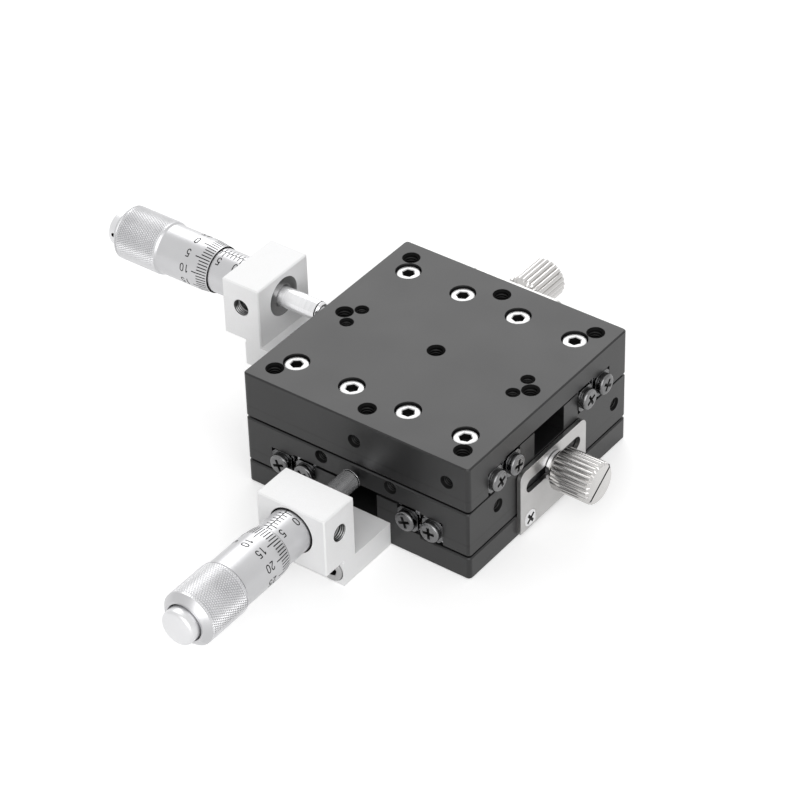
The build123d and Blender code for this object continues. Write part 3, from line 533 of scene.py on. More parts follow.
def brushed(name, dark, light, rough, scale, strength, edge=0.0, metallic=1.0, depth=0.01):
    """Fine straight lines: scale gives how fast the grain changes along X, Y and Z."""
    finish = Finish(name, metallic)
    lines = finish.noise(1.0, 3.0, finish.stretched(scale))
    cloud = finish.noise(BRUSHED_CLOUDS)
    finish.colour(finish.blend(lines, 0.6, cloud, 0.4), dark, light, BRUSHED_SPAN)
    finish.roughness(lines, *rough)
    finish.bump(lines, strength, depth * MM, edge)
    return finish.material


def grey(level, blue=None):
    return level, level, level if blue is None else blue


def plating(name, dark, light, rough, grain, strength):
    """A bare or plated metal, with grained's other values."""
    return grained(name, 1.0, dark, light, rough, grain, strength)


# Each height where two plates meet, and half the height of the painted shade in the seam there
SEAM_SHADES = [((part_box(below)[1].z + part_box(above)[0].z) / 2, SEAM_SHADE_HALF * MM)
         for below, above in (("base_plate", "middle_plate"), ("middle_plate", "table_plate"))]
# The black finish carries painted shade in the seams between plates
BLACK = grained("black_anodised", 0.0, grey(0.005, 0.0053), grey(0.011, 0.0114), (0.34, 0.40),
                0.12, 0.2, edge=WORN_EDGE, specular=0.49, shaded_seams=SEAM_SHADES)
KNURLED = plating("knurled_chrome", grey(0.56, 0.57), grey(0.72, 0.73), (0.28, 0.36), 0.10, 0.10)
CHROME = plating("satin_chrome", grey(0.52, 0.53), grey(0.58, 0.59), (0.33, 0.39), 0.06, 0.05)
CAP = plating("cap_chrome", grey(0.69, 0.70), grey(0.77, 0.78), (0.33, 0.39), 0.06, 0.05)
# Painted shade: a darker steel for the stem's end beside the plate and for the ridges in the brackets'
# tapped holes
SHADED_STEEL = plating("steel_in_painted_shade", grey(0.22), grey(0.30), (0.30, 0.40), 0.06, 0.1)
NICKEL = plating("nickel", (0.52, 0.51, 0.50), (0.66, 0.65, 0.64), (0.18, 0.28), 0.10, 0.15)
ZINC = plating("zinc", grey(0.40), grey(0.52), (0.28, 0.38), 0.08, 0.12)
FOOT_SCREW = plating("foot_screw", grey(0.34), grey(0.46), (0.24, 0.34), 0.08, 0.15)
BRASS = plating("cage_brass", (0.55, 0.42, 0.20), (0.66, 0.52, 0.27), (0.25, 0.40), 0.10, 0.15)
BRIGHT = plating("bright_steel", grey(0.62, 0.63), grey(0.78, 0.79), (0.12, 0.20), 0.08, 0.06)
STEEL = grained("ground_steel", 0.6, grey(0.66, 0.67), grey(0.76, 0.77), (0.10, 0.16), 0.02, 0.06)
# Painted shade: near black for screw sockets, cross recesses and the knob's slot
SOCKET_SHADE = grained("socket_painted_shade", 0.6, grey(0.008), grey(0.025), (0.4, 0.55), 0.08, 0.2)
DARK_SCREW = grained("black_oxide", 1.0, grey(0.10, 0.102), grey(0.26, 0.263), (0.14, 0.24),
                     0.10, 0.25, edge=WORN_EDGE)
DARK_PLATE = grained("black_steel", 1.0, grey(0.06, 0.062), grey(0.24, 0.243), (0.14, 0.26),
                     0.16, 0.35, edge=1.2 * WORN_EDGE)
# Black paint of the engraved lines and figures; the same black is also painted as shade in the thimble's
# mouth, the gap beside the cap, the spanner hole, the spindle's groove and the hole linings
INK_AND_SHADE = grained("engraving_and_shade_paint", 0.0, grey(0.003), grey(0.008), (0.50, 0.65), 0.05, 0.2, specular=0.04)
THREAD = grained("tapped_thread", 0.0, grey(0.008), grey(0.016), (0.45, 0.60), 0.06, 0.2, specular=0.3)


# ---- Where things are ----
PLATE_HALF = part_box("base_plate")[1].x
AXES = {
    "lower": {"out": (0, -1, 0), "fixed": "base", "moved": "middle"},
    "upper": {"out": (-1, 0, 0), "fixed": "middle", "moved": "table"},
}
LOCKS = {"lower": (1, 0, 0), "upper": (0, 1, 0)}


def span_of(axis, part):
    """Where a part starts and ends along its axis, in millimetres from the plate's side face."""
    out = Vector(AXES[axis]["out"])
    ends = [(corner.dot(out) - PLATE_HALF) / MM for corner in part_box(f"{axis}_{part}")]
    return min(ends), max(ends)


def radius_of(axis, part):
    """Half the height of a round part, in millimetres."""
    low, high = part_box(f"{axis}_{part}")
    return (high.z - low.z) / 2 / MM


def head_frame(axis):
    low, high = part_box(f"{axis}_sleeve")
    out = Vector(AXES[axis]["out"])
    return local_frame(out * PLATE_HALF + Vector((0, 0, (low.z + high.z) / 2)), out)


# ---- Engraved surfaces ----
def with_walls(pairs):
    """Both ends of each groove, and its walls just outside them."""
    stations = set()
    for low, high in pairs:
        stations |= {low, high, low - LINE_WALL, high + LINE_WALL}
    return stations


def filled(stations, step):
    """Sorted stations, with others between them where they are more than a step apart."""
    stations = sorted(stations)
    result = [stations[0]]
    for low, high in zip(stations, stations[1:]):
        if high - low < TINY:
            continue
        parts = max(1, math.ceil((high - low) / step - TINY))
        result += [low + (high - low) * k / parts for k in range(1, parts + 1)]
    return result


def turn(angle):
    """An angle from minus half a turn to half a turn."""
    return (angle + math.pi) % (2 * math.pi) - math.pi


def angle_columns(marks, radius, step=math.radians(3)):
    """Angles for the rings of an engraved stretch, from 0 to a full turn."""
    wall = LINE_WALL / radius
    values = {0.0, 2 * math.pi}
    for _, _, low, high in marks:
        for a in (low - wall, low, high, high + wall):
            values.add(round(a % (2 * math.pi), 7))
    return filled(values, step)[:-1]


def engraved_band(shell, stations, angles, radius_at, marks):
    """Rings over a graduated stretch; marks are (low s, high s, low angle, high angle)."""
    rings = []
    sunk_rows = []
    for s in stations:
        here = [m for m in marks if m[0] - TINY <= s <= m[1] + TINY]
        sunk = [any(m[2] - TINY <= turn(a) <= m[3] + TINY for m in here) for a in angles]
        radii = [radius_at(s) - (LINE_DEPTH if inside else 0) for inside in sunk]
        rings.append(shell.ring(s, radii, angles))
        sunk_rows.append(sunk)
    count = len(angles)
    for (_, ring_a), (_, ring_b), sunk_a, sunk_b in zip(rings, rings[1:], sunk_rows, sunk_rows[1:]):
        for i in range(count):
            k = (i + 1) % count
            dark = sunk_a[i] or sunk_a[k] or sunk_b[i] or sunk_b[k]
            shell.face((ring_a[i], ring_a[k], ring_b[k], ring_b[i]), 1 if dark else 0)
    return rings[0], rings[-1]


def arc(centre, size, start, end, count=10):
    """Points on part of an ellipse, from a start to an end angle in degrees."""
    return [(centre[0] + size[0] * math.cos(math.radians(start + (end - start) * i / count)),
             centre[1] + size[1] * math.sin(math.radians(start + (end - start) * i / count)))
            for i in range(count + 1)]


# Strokes of each figure in a box of width 1 and height 1; a closed figure repeats its first point.
DIGITS = {
    "0": [arc((0.5, 0.68), (0.42, 0.32), 0, 180) + arc((0.5, 0.32), (0.42, 0.32), 180, 360)
          + [(0.92, 0.68)]],
    "1": [[(0.28, 0.80), (0.55, 1.0), (0.55, 0.0)]],
    "2": [arc((0.5, 0.70), (0.40, 0.30), 165, -25) + [(0.1, 0.0), (0.92, 0.0)]],
    "3": [arc((0.5, 0.74), (0.36, 0.26), 150, -90) + arc((0.5, 0.25), (0.42, 0.25), 90, -150)],
    "4": [[(0.72, 0.0), (0.72, 1.0), (0.06, 0.30), (0.94, 0.30)]],
    "5": [[(0.86, 1.0), (0.24, 1.0), (0.16, 0.55)] + arc((0.48, 0.33), (0.42, 0.33), 132, -150)],
}


def stroke_points(points):
    """The same line in short steps, so that it follows a round surface."""
    points = [Vector(p) for p in points]
    result = [points[0]]
    for a, b in zip(points, points[1:]):
        length = (b - a).length
        parts = max(1, math.ceil(length / STROKE_STEP))
        if length > TINY:
            result += [a.lerp(b, k / parts) for k in range(1, parts + 1)]
    return result


def write_stroke(shell, line, wrap):
    """A strip of even width along a line; wrap turns (along, across, height) into a point."""
    count = len(line)
    closed = (line[0] - line[-1]).length < TINY
    rows = []
    for i, here in enumerate(line):
        behind = line[i - 1] if i else (line[-2] if closed else here)
        ahead = line[i + 1] if i + 1 < count else (line[1] if closed else here)
        along = ahead - behind
        side = Vector((-along.y, along.x)).normalized() * STROKE_WIDTH / 2
        if not closed and i in (0, count - 1):
            here = here + along.normalized() * (STROKE_WIDTH / 2 if i else -STROKE_WIDTH / 2)
        corners = [(here + side, STROKE_PROUD), (here - side, STROKE_PROUD),
                   (here - side, -STROKE_SUNK), (here + side, -STROKE_SUNK)]
        rows.append([shell.point(*wrap(p.x, p.y, h)) for p, h in corners])
    if not closed:
        shell.stack(rows)
        return
    for a, b in zip(rows, rows[1:]):
        shell.strip(a, b)


def write_number(shell, text, s_centre, angle, radius_at):
    """A number that reads outwards along the axis, its top towards the near side."""
    advance = DIGIT_WIDTH + DIGIT_GAP
    start = s_centre - (advance * len(text) - DIGIT_GAP) / 2

    def wrap(s, across, height):
        radius = radius_at(s)
        a = math.radians(angle) + across / radius
        return (radius + height) * math.sin(a), (radius + height) * math.cos(a), s

    for i, figure in enumerate(text):
        left = start + advance * i
        for stroke in DIGITS[figure]:
            points = [(left + x * DIGIT_WIDTH, (y - 0.5) * DIGIT_HEIGHT) for x, y in stroke]
            write_stroke(shell, stroke_points(points), wrap)


# ---- Micrometer heads ----
def sleeve_marks(zero, datum):
    """Datum line, a tick for each millimetre on the near side and each half on the far side."""
    half = LINE_WIDTH / 2
    marks = [(zero - DATUM_OVERRUN[0], zero + MEASURING_RANGE + DATUM_OVERRUN[1],
              datum - half / BARREL_RADIUS, datum + half / BARREL_RADIUS)]
    for i in range(MEASURING_RANGE + 1):
        length = SLEEVE_LONG_TICK if i % 5 == 0 else SLEEVE_TICK
        marks.append((zero + i - half, zero + i + half, datum, datum + length / BARREL_RADIUS))
    for i in range(MEASURING_RANGE):
        middle = zero + i + 0.5
        marks.append((middle - half, middle + half, datum - SLEEVE_HALF_TICK / BARREL_RADIUS, datum))
    return marks


def make_sleeve(axis, finish):
    start, end = span_of(axis, "sleeve")
    edge, _ = span_of(axis, "thimble")
    zero = edge - READINGS[axis]
    marks = sleeve_marks(zero, math.radians(DATUM_ANGLE[axis]))
    angles = angle_columns(marks, BARREL_RADIUS)
    nut_start = end - NUT_LENGTH
    band_start = BARREL_START + BARREL_LEAD
    outline = [(nut_start, BARREL_RADIUS), (nut_start, NUT_SEAT), (end, NUT_SEAT), (end, REAR_BORE),
               (REAR_BORE_START, REAR_BORE), (REAR_BORE_START, FRONT_BORE),
               (start + STEM_MOUTH - FRONT_BORE, FRONT_BORE), (start, STEM_MOUTH), (start, STEM_RADIUS),
               (BARREL_START, STEM_RADIUS), (BARREL_START, BARREL_RADIUS), (band_start, BARREL_RADIUS)]
    shell = Shell()
    plain = shell.lathe(eased(outline), angles)
    rows = with_walls([(m[0], m[1]) for m in marks]) | {band_start, nut_start}
    first, last = engraved_band(shell, filled(rows, ENGRAVED_STEP["sleeve"]), angles,
                                lambda s: BARREL_RADIUS, marks)
    shell.join(plain[-1], first)
    shell.join(last, plain[0])
    # Painted shade: the stem's end beside the plate takes the darker steel
    shell.repaint(2, lambda reach, s: s < start + STEM_END)
    piece = shell.make(f"{axis}_graduated_sleeve", head_frame(axis), [finish, INK_AND_SHADE, SHADED_STEEL])
    numbers = Shell()
    for value in range(0, MEASURING_RANGE + 1, 5):
        write_number(numbers, str(value), zero + value + ZERO_SHIFT * (value == 0), SLEEVE_NUMBER_ANGLE,
                     lambda s: BARREL_RADIUS)
    figures = numbers.make(f"{axis}_sleeve_numbers", head_frame(axis), [INK_AND_SHADE])
    for made in (piece, figures):
        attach(made, AXES[axis]["fixed"])
    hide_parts(f"{axis}_sleeve")


def knurl_band(shell, start, end, radius):
    """Diamond pyramids with small flat tops, between crossed grooves."""
    columns = 2 * KNURL_COUNT
    step = 2 * math.pi / columns
    pitch = (end - start) / KNURL_ROWS

    def at(column, row, r):
        a = column * step
        return r * math.sin(a), r * math.cos(a), start + row * pitch

    diamonds = [(column, row) for row in range(KNURL_ROWS + 1) for column in range(columns)]
    low = {(column, row): shell.point(*at(column, row, radius - KNURL_DEPTH))
           for column, row in diamonds if (row + column) % 2 == 0}
    for column, row in diamonds:
        if (column, row) in low:
            continue
        around = [(column + 1, row), (column, row + 1), (column - 1, row), (column, row - 1)]
        corners = [low[c % columns, r] for c, r in around if (c % columns, r) in low]
        if len(corners) < 4:
            shell.face(corners, 2)
            continue
        peak = Vector(at(column, row, radius))
        tops = [shell.point(*peak.lerp(Vector(at(c, r, radius)), KNURL_TOP)) for c, r in around]
        shell.strip(corners, tops, 2)
        shell.face(tops, 2)
    ends = []
    for row in (0, KNURL_ROWS):
        picked = [c for c in range(columns) if (c, row) in low]
        ends.append(([c * step for c in picked], [low[c, row] for c in picked]))
    return ends


def thimble_marks(edge, zero_angle):
    """A line for each division, longer at each fifth."""
    half = LINE_WIDTH / 2 / THIMBLE_EDGE_RADIUS
    marks = []
    for i in range(DIVISIONS):
        middle = turn(math.radians(zero_angle + i * 360 / DIVISIONS))
        length = DIVISION_LONG if i % 5 == 0 else DIVISION_SHORT
        marks.append((edge + DIVISION_START, edge + length, middle - half, middle + half))
    return marks


def make_thimble(axis, finish):
    edge, end = span_of(axis, "thimble")
    knurl_radius = radius_of(axis, "thimble")
    cap_radius = radius_of(axis, "end_cap")
    hub = end - HUB_LENGTH
    knurl_end = end - RIM_LENGTH
    knurl_start = knurl_end - KNURL_LENGTH
    turned = READINGS[axis] % THREAD_STEP / THREAD_STEP * DIVISIONS
    zero_angle = DATUM_ANGLE[axis] - turned * 360 / DIVISIONS
    slope = (THIMBLE_RADIUS - THIMBLE_EDGE_RADIUS) / THIMBLE_TAPER

    def outer(s):
        return min(THIMBLE_RADIUS, THIMBLE_EDGE_RADIUS + (s - edge) * slope)

    shell = Shell()
    even = even_angles(FINE_ROUND)
    band_start = edge + THIMBLE_LEAD
    seat = end - CAP_SUNK
    hole_end = seat - SPIGOT_HOLE[0]
    spigot = CAP_SPIGOT + SPIGOT_HOLE[1]
    outline = [(band_start, outer(edge)), (edge, outer(edge)), (edge, THIMBLE_BORE), (hub, THIMBLE_BORE),
               (hub, REAR_BORE), (hole_end, REAR_BORE), (hole_end, spigot), (seat, spigot),
               (seat, cap_radius + CAP_GAP), (end, cap_radius + CAP_RING), (end, RIM_RADIUS),
               (knurl_end + KNURL_BACK[0], knurl_radius - KNURL_BACK[1]),
               (knurl_end, knurl_radius - KNURL_DEPTH)]
    inner = shell.lathe(eased(outline, FINE_EASE["thimble"]), even)
    marks = thimble_marks(edge, zero_angle)
    band_end, next_ring = (edge + DIVISION_LONG + past for past in THIMBLE_TAIL)
    rows = with_walls([(m[0], m[1]) for m in marks]) | {band_start, edge + THIMBLE_TAPER, band_end}
    first, last = engraved_band(shell, filled(rows, ENGRAVED_STEP["thimble"]),
                                angle_columns(marks, THIMBLE_RADIUS), outer, marks)
    shell.join(inner[0], first)
    outline = [(next_ring, THIMBLE_RADIUS), (knurl_start - KNURL_LEAD, THIMBLE_RADIUS),
               (knurl_start - KNURL_FRONT[0], knurl_radius - KNURL_FRONT[1]),
               (knurl_start, knurl_radius - KNURL_DEPTH)]
    body = shell.lathe(eased(outline), even)
    shell.join(last, body[0])
    knurl_first, knurl_last = knurl_band(shell, knurl_start, knurl_end, knurl_radius)
    shell.join(body[-1], knurl_first)
    shell.join(knurl_last, inner[-1])
    # Painted shade: the thimble's mouth, its inside and the floor of the gap beside the cap are painted
    # black
    shell.repaint(1, lambda reach, s: s < edge + DARK_EDGE
                  or (s < end - RING_SHADE and reach < THIMBLE_BORE + HAIR))
    piece = shell.make(f"{axis}_graduated_thimble", head_frame(axis), [finish, INK_AND_SHADE, KNURLED])
    numbers = Shell()
    for value in range(0, DIVISIONS, 5):
        write_number(numbers, str(value), edge + NUMBER_CENTRE,
                     zero_angle + value * 360 / DIVISIONS, outer)
    figures = numbers.make(f"{axis}_thimble_numbers", head_frame(axis), [INK_AND_SHADE])
    for made in (piece, figures):
        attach(made, f"{axis}_screw")
    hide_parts(f"{axis}_thimble")


def make_cap(axis, finish):
    """Thimble cap with a slightly domed face and a spanner hole in its side."""
    start, end = span_of(axis, "end_cap")
    _, thimble_end = span_of(axis, "thimble")
    radius = radius_of(axis, "end_cap")
    seat = thimble_end - CAP_SUNK
    shoulder = end - CAP_DOME - CAP_ROUND
    outline = [(start, 0), (start, CAP_SPIGOT), (seat, CAP_SPIGOT), (seat, radius)]
    outline += arc((shoulder, radius - CAP_ROUND), (CAP_ROUND, CAP_ROUND), 90, 90 - ROUND_END, 12)
    rim_s, rim_r = outline[-1]
    outline += arc((rim_s, 0), (end - rim_s, rim_r), 75, 15, 4)
    outline += [(end, 0)]
    shell = Shell()
    shell.lathe(outline, even_angles(ROUND))
    placed = head_frame(axis)
    piece = shell.make(f"{axis}_domed_cap", placed, [finish, INK_AND_SHADE])
    hole, depth = SPANNER_HOLE
    angle = math.radians(SPANNER_ANGLE[axis])
    out = Vector((math.sin(angle), math.cos(angle), 0))
    side = Vector((0, 0, 1))
    middle = side * (thimble_end + shoulder) / 2
    # Painted shade: the spanner hole's walls are painted black
    tool = Shell()
    tool.stack([tool.circle(middle + out * reach, side, out.cross(side), hole, HOLE_ROUND)
                for reach in (radius - depth, radius + 1)], 1)
    cut_away(piece, tool.make("hole_tool", placed, [finish, INK_AND_SHADE]))
    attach(piece, f"{axis}_screw")
    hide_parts(f"{axis}_end_cap")


def make_spindle(axis, finish):
    """Ground spindle with a cupped nose; its threaded part is inside the sleeve."""
    start, end = span_of(axis, "spindle")
    centre, cup = CUP
    turned_to = math.degrees(math.acos((start - centre) / cup))
    bevel_end = start + NOSE_BEVEL
    behind, width, depth = NOSE_GROOVE
    groove = bevel_end + behind
    outline = arc((centre, 0), (cup, cup), 0, turned_to, 12)
    outline += eased([(start, NOSE_RADIUS), (bevel_end, SPINDLE_RADIUS), (groove, SPINDLE_RADIUS),
                      (groove, SPINDLE_RADIUS - depth), (groove + width, SPINDLE_RADIUS - depth),
                      (groove + width, SPINDLE_RADIUS), (SPINDLE_THREAD_START, SPINDLE_RADIUS),
                      (SPINDLE_THREAD_START, SPINDLE_THREAD), (end, SPINDLE_THREAD)],
                     FINE_EASE["spindle"])
    outline += [(end, 0)]
    shell = Shell()
    shell.lathe(outline, even_angles(ROUND))
    # Painted shade: the groove by the nose is painted black
    shell.repaint(1, lambda reach, s: groove - HAIR < s < groove + width + HAIR
                  and reach < SPINDLE_RADIUS - HAIR)
    piece = shell.make(f"{axis}_ground_spindle", head_frame(axis), [finish, INK_AND_SHADE])
    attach(piece, f"{axis}_screw")
    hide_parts(f"{axis}_spindle")


# ---- Return springs ----
def sweep(shell, path, radius, sides):
    """A round wire along a path of points."""
    path = [Vector(p) for p in path]
    side = (path[1] - path[0]).orthogonal()
    rows = []
    for i, here in enumerate(path):
        along = (path[min(i + 1, len(path) - 1)] - path[max(i - 1, 0)]).normalized()
        side = (side - along * side.dot(along)).normalized()
        rows.append(shell.circle(here, side, along.cross(side), radius, sides))
    shell.stack(rows)


def make_spring(axis):
    """Extension spring: open coils with a hook round each post."""
    out = Vector(AXES[axis]["out"])
    low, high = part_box(f"{axis}_return_spring")
    height = Vector((0, 0, (low.z + high.z) / 2))
    posts = [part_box(f"{axis}_{name}") for name in ("spring_post", "spring_hanger")]
    posts = [((a + b) / 2).dot(out) for a, b in posts]
    reach = abs(posts[0]) / MM
    ring = POST_RADIUS + POST_GAP + SPRING_WIRE
    body = reach - ring - SPRING_NECK
    hook = [HOOK_TURN * k / HOOK_STEPS for k in range(HOOK_STEPS + 1)]
    path = [(ring * math.sin(a), 0, -reach + ring * math.cos(a)) for a in reversed(hook)]
    path += [(x, y, -body - off) for x, y, off in SPRING_LEAD]
    last = SPRING_TURNS * SPRING_STEPS
    for k in range(last + 1):
        a = 2 * math.pi * k / SPRING_STEPS
        ease = min(1.0, k / SPRING_STEPS, (last - k) / SPRING_STEPS)
        r = SPRING_RADIUS * (SPRING_END + (1 - SPRING_END) * ease)
        path.append((r * math.cos(a), r * math.sin(a), -body + 2 * body * k / last))
    path += [(x, y, body + off) for x, y, off in reversed(SPRING_LEAD)]
    path += [(ring * math.sin(a), 0, reach - ring * math.cos(a)) for a in hook]
    shell = Shell()
    sweep(shell, path, SPRING_WIRE, SPRING_SIDES)
    piece = shell.make(f"{axis}_coil_spring", local_frame(height, out), [BRIGHT])
    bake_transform(piece)
    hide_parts(f"{axis}_return_spring")


# ---- Lock knobs ----
def cut_slot(piece, placed, end):
    """A driver slot across the knob's end face."""
    width, depth, tilt = KNOB_SLOT
    turned = Matrix.Rotation(math.radians(tilt), 3, "Z")
    x, y = SLOT_REACH, width / 2
    # Painted shade: the slot's walls take the near black of the sockets
    cutter = Shell()
    cutter.stack([[cutter.point(*(turned @ Vector((*corner, z))))
                   for corner in ((-x, -y), (x, -y), (x, y), (-x, y))]
                  for z in (end - depth, end + 1)])
    cut_away(piece, cutter.make("slot_tool", placed, [SOCKET_SHADE]))


def make_knob(axis):
    """Fluted knob with its stud."""
    out = Vector(LOCKS[axis])
    low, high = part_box(f"{axis}_lock_knob")
    stud, end = sorted((low.dot(out) / MM, high.dot(out) / MM))
    start = max(corner.dot(out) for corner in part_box(f"{axis}_lock_washer")) / MM
    radius = radius_of(axis, "lock_knob")
    placed = local_frame(Vector((0, 0, (low.z + high.z) / 2)), out)
    angles = even_angles(KNOB_FLUTES * FLUTE_POINTS)
    sunk = [FLUTE_DEPTH * (1 - abs(math.cos(KNOB_FLUTES * a / 2)) ** FLUTE_POWER) for a in angles]
    profile = [(stud, 0, 0), (stud, STUD_RADIUS - STUD_CHAMFER, 0), (stud + STUD_CHAMFER, STUD_RADIUS, 0),
               (start, STUD_RADIUS, 0)]
    profile += [(start + s, r, share) for s, r, share in KNOB_SHOULDER]
    profile += [(start + s, radius - inset, share) for s, inset, share in KNOB_GRIP]
    profile += [(end - s, radius - inset, share) for s, inset, share in KNOB_END]
    profile += [(end, 0, 0)]
    shell = Shell()
    rings = [shell.ring(s, [r - d * share for d in sunk] if share else r, angles)
             for s, r, share in profile]
    for first, second in zip(rings, rings[1:]):
        shell.join(first, second)
    piece = shell.make(f"{axis}_fluted_knob", placed, [NICKEL, SOCKET_SHADE])
    cut_slot(piece, placed, end)
    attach(piece, f"{axis}_lock")
    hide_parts(f"{axis}_lock_knob")


# ---- Screws ----
def solids_of(node):
    """Lowest and highest corner of each separate solid of a node, in a steady order."""
    work = bmesh.new()
    work.from_mesh(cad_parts[node].data)
    bmesh.ops.remove_doubles(work, verts=work.verts, dist=TINY)
    seen = set()
    boxes = []
    for seed in work.verts:
        if seed in seen:
            continue
        group = []
        queue = [seed]
        seen.add(seed)
        while queue:
            vertex = queue.pop()
            group.append(vertex.co.copy())
            near = {edge.other_vert(vertex) for edge in vertex.link_edges} - seen
            seen |= near
            queue += near
        boxes.append((Vector(min(c[i] for c in group) for i in range(3)),
                      Vector(max(c[i] for c in group) for i in range(3))))
    work.free()
    return sorted(boxes, key=lambda box: [round(c, 5) for c in box[0]])


def facing(origin, way):
    """From millimetres to metres, with the third axis along way."""
    if abs(way[2]) > 0.5:
        flip = Matrix.Rotation(0 if way[2] > 0 else math.pi, 4, "X")
        return Matrix.Translation(origin) @ flip @ Matrix.Scale(MM, 4)
    return local_frame(origin, way)


def screw_places(node, head):
    """A frame under the head of each screw; heads point away from the middle of the stage."""
    places = []
    for low, high in solids_of(node):
        size = high - low
        long_side = max(range(3), key=lambda k: size[k])
        origin = (low + high) / 2
        way = Vector((0, 0, 0))
        way[long_side] = 1.0 if origin[long_side] > 0 else -1.0
        face = high if way[long_side] > 0 else low
        origin[long_side] = face[long_side] - way[long_side] * head * MM
        places.append(facing(origin, way))
    return places


def shank_length(node, head):
    low, high = solids_of(node)[0]
    return max(high - low) / MM - head


def set_down(name, node, body, mesh, places):
    """One piece from copies of a screw at several places, instead of a node."""
    work = bmesh.new()
    for placed in places:
        first = len(work.verts)
        work.from_mesh(mesh)
        work.verts.ensure_lookup_table()
        for vertex in work.verts[first:]:
            vertex.co = placed @ vertex.co
    whole = bpy.data.meshes.new(name)
    work.to_mesh(whole)
    work.free()
    for material in mesh.materials:
        whole.materials.append(material)
    tidy_mesh(whole)
    piece = add_object(name, whole)
    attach(piece, body)
    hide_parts(node)


def cap_screw(shank, finish):
    """Socket head cap screw: a broken edge, a chamfered hexagon and a drilled bottom."""
    radius, height, flats = M3_HEAD
    tip_length, tip_depth = M3_TIP
    angles = even_angles(SCREW_ROUND)
    leans = [(a + math.pi / 6) % (math.pi / 3) - math.pi / 6 for a in angles]
    outline = [(-shank, 0), (-shank, M3_SHANK - tip_depth), (tip_length - shank, M3_SHANK), (0, M3_SHANK)]
    outline += [(s, radius - inset) for s, inset in M3_EDGE]
    outline += [(height - s, radius - inset) for s, inset in M3_BEVEL]
    outside = len(outline)
    outline += [(height - s, [(flats / 2 + grow) / math.cos(lean) for lean in leans])
                for s, grow in M3_SOCKET]
    outline += [(height - M3_SOCKET[-1][0] - SOCKET_POINT, 0)]
    shell = Shell()
    rings = [shell.ring(s, r, angles) for s, r in outline]
    # Painted shade: the socket's walls and bottom are near black
    for i, (first, second) in enumerate(zip(rings, rings[1:])):
        shell.join(first, second, 1 if i > outside else 0)
    return shell.make("cap_screw", Matrix.Identity(4), [finish, SOCKET_SHADE])


def cross_screw(head, shank, length, top, finish):
    """A turned screw with a tapered cross recess in its head, which ends at height top."""
    tip_length, tip_depth = CROSS_TIP
    outline = [(-length, 0), (-length, shank - tip_depth), (tip_length - length, shank), *head, (top, 0)]
    shell = Shell()
    shell.lathe(outline, even_angles(SCREW_ROUND))
    screw = shell.make("cross_screw", Matrix.Identity(4), [finish, SOCKET_SHADE])
    reach, half, depth = CROSS
    levels = ((top - depth, CROSS_TAPER[0] * reach, CROSS_TAPER[1] * half), (top, reach, half),
              (top + 1, reach, half))
    turns = [Matrix.Rotation(math.pi / 2 * k, 3, "Z") for k in range(4)]
    # Painted shade: the cross recess's walls take the near black of the sockets
    tool = Shell()
    tool.stack([[tool.point(*(turned @ Vector((*corner, s)))) for turned in turns
                 for corner in ((arm, -wide), (arm, wide), (wide, wide))]
                for s, arm, wide in levels], 1)
    cut_away(screw, tool.make("cross_tool", Matrix.Identity(4), [finish, SOCKET_SHADE]))
    return screw


def flush_screw(node):
    """Countersunk screw of a clamp plate."""
    radius, depth, shank = CLAMP_HEAD
    head = [(-depth, shank)] + [(-s, radius - inset) for s, inset in CLAMP_EDGE]
    return cross_screw(head, shank, shank_length(node, 0), 0, BRIGHT)


def pan_screw(node):
    """Pan-head screw of a cage stop."""
    radius, height, shank, rounding = PAN_HEAD
    head = [(0, shank), (0, radius - PAN_EDGE), (PAN_EDGE, radius)]
    head += [(height - rounding + y, radius - rounding + x)
             for x, y in arc((0, 0), (rounding, rounding), 0, 90, 8)]
    return cross_screw(head, shank, shank_length(node, height), height, DARK_SCREW)


def make_screws():
    """Every screw whose head shows."""
    height = M3_HEAD[1]
    screws = [("table_cap_screws", "table_rail_screws", "table", height, "zinc_screw",
               cap_screw(shank_length("table_rail_screws", height), ZINC))]
    for axis, facts in AXES.items():
        node = f"{axis}_bracket_screws"
        screws.append((f"{axis}_foot_screws", node, facts["fixed"], height, "dark_screw",
                       cap_screw(shank_length(node, height), FOOT_SCREW)))
        node = f"{axis}_clamp_screws"
        screws.append((f"{axis}_flush_screws", node, facts["fixed"], 0, "zinc_screw", flush_screw(node)))
    for body in ("base", "middle", "table"):
        node = f"{body}_stop_screws"
        screws.append((f"{body}_pan_screws", node, body, PAN_HEAD[1], "black_steel", pan_screw(node)))
    for name, node, body, head, slot, screw in screws:
        places = [placed @ Matrix.Rotation(math.radians(SCREW_TURN * (i + 1)), 4, "Z")
                  for i, placed in enumerate(screw_places(node, head))]
        set_down(name, node, body, screw.data, places)
        bpy.data.objects.remove(screw)


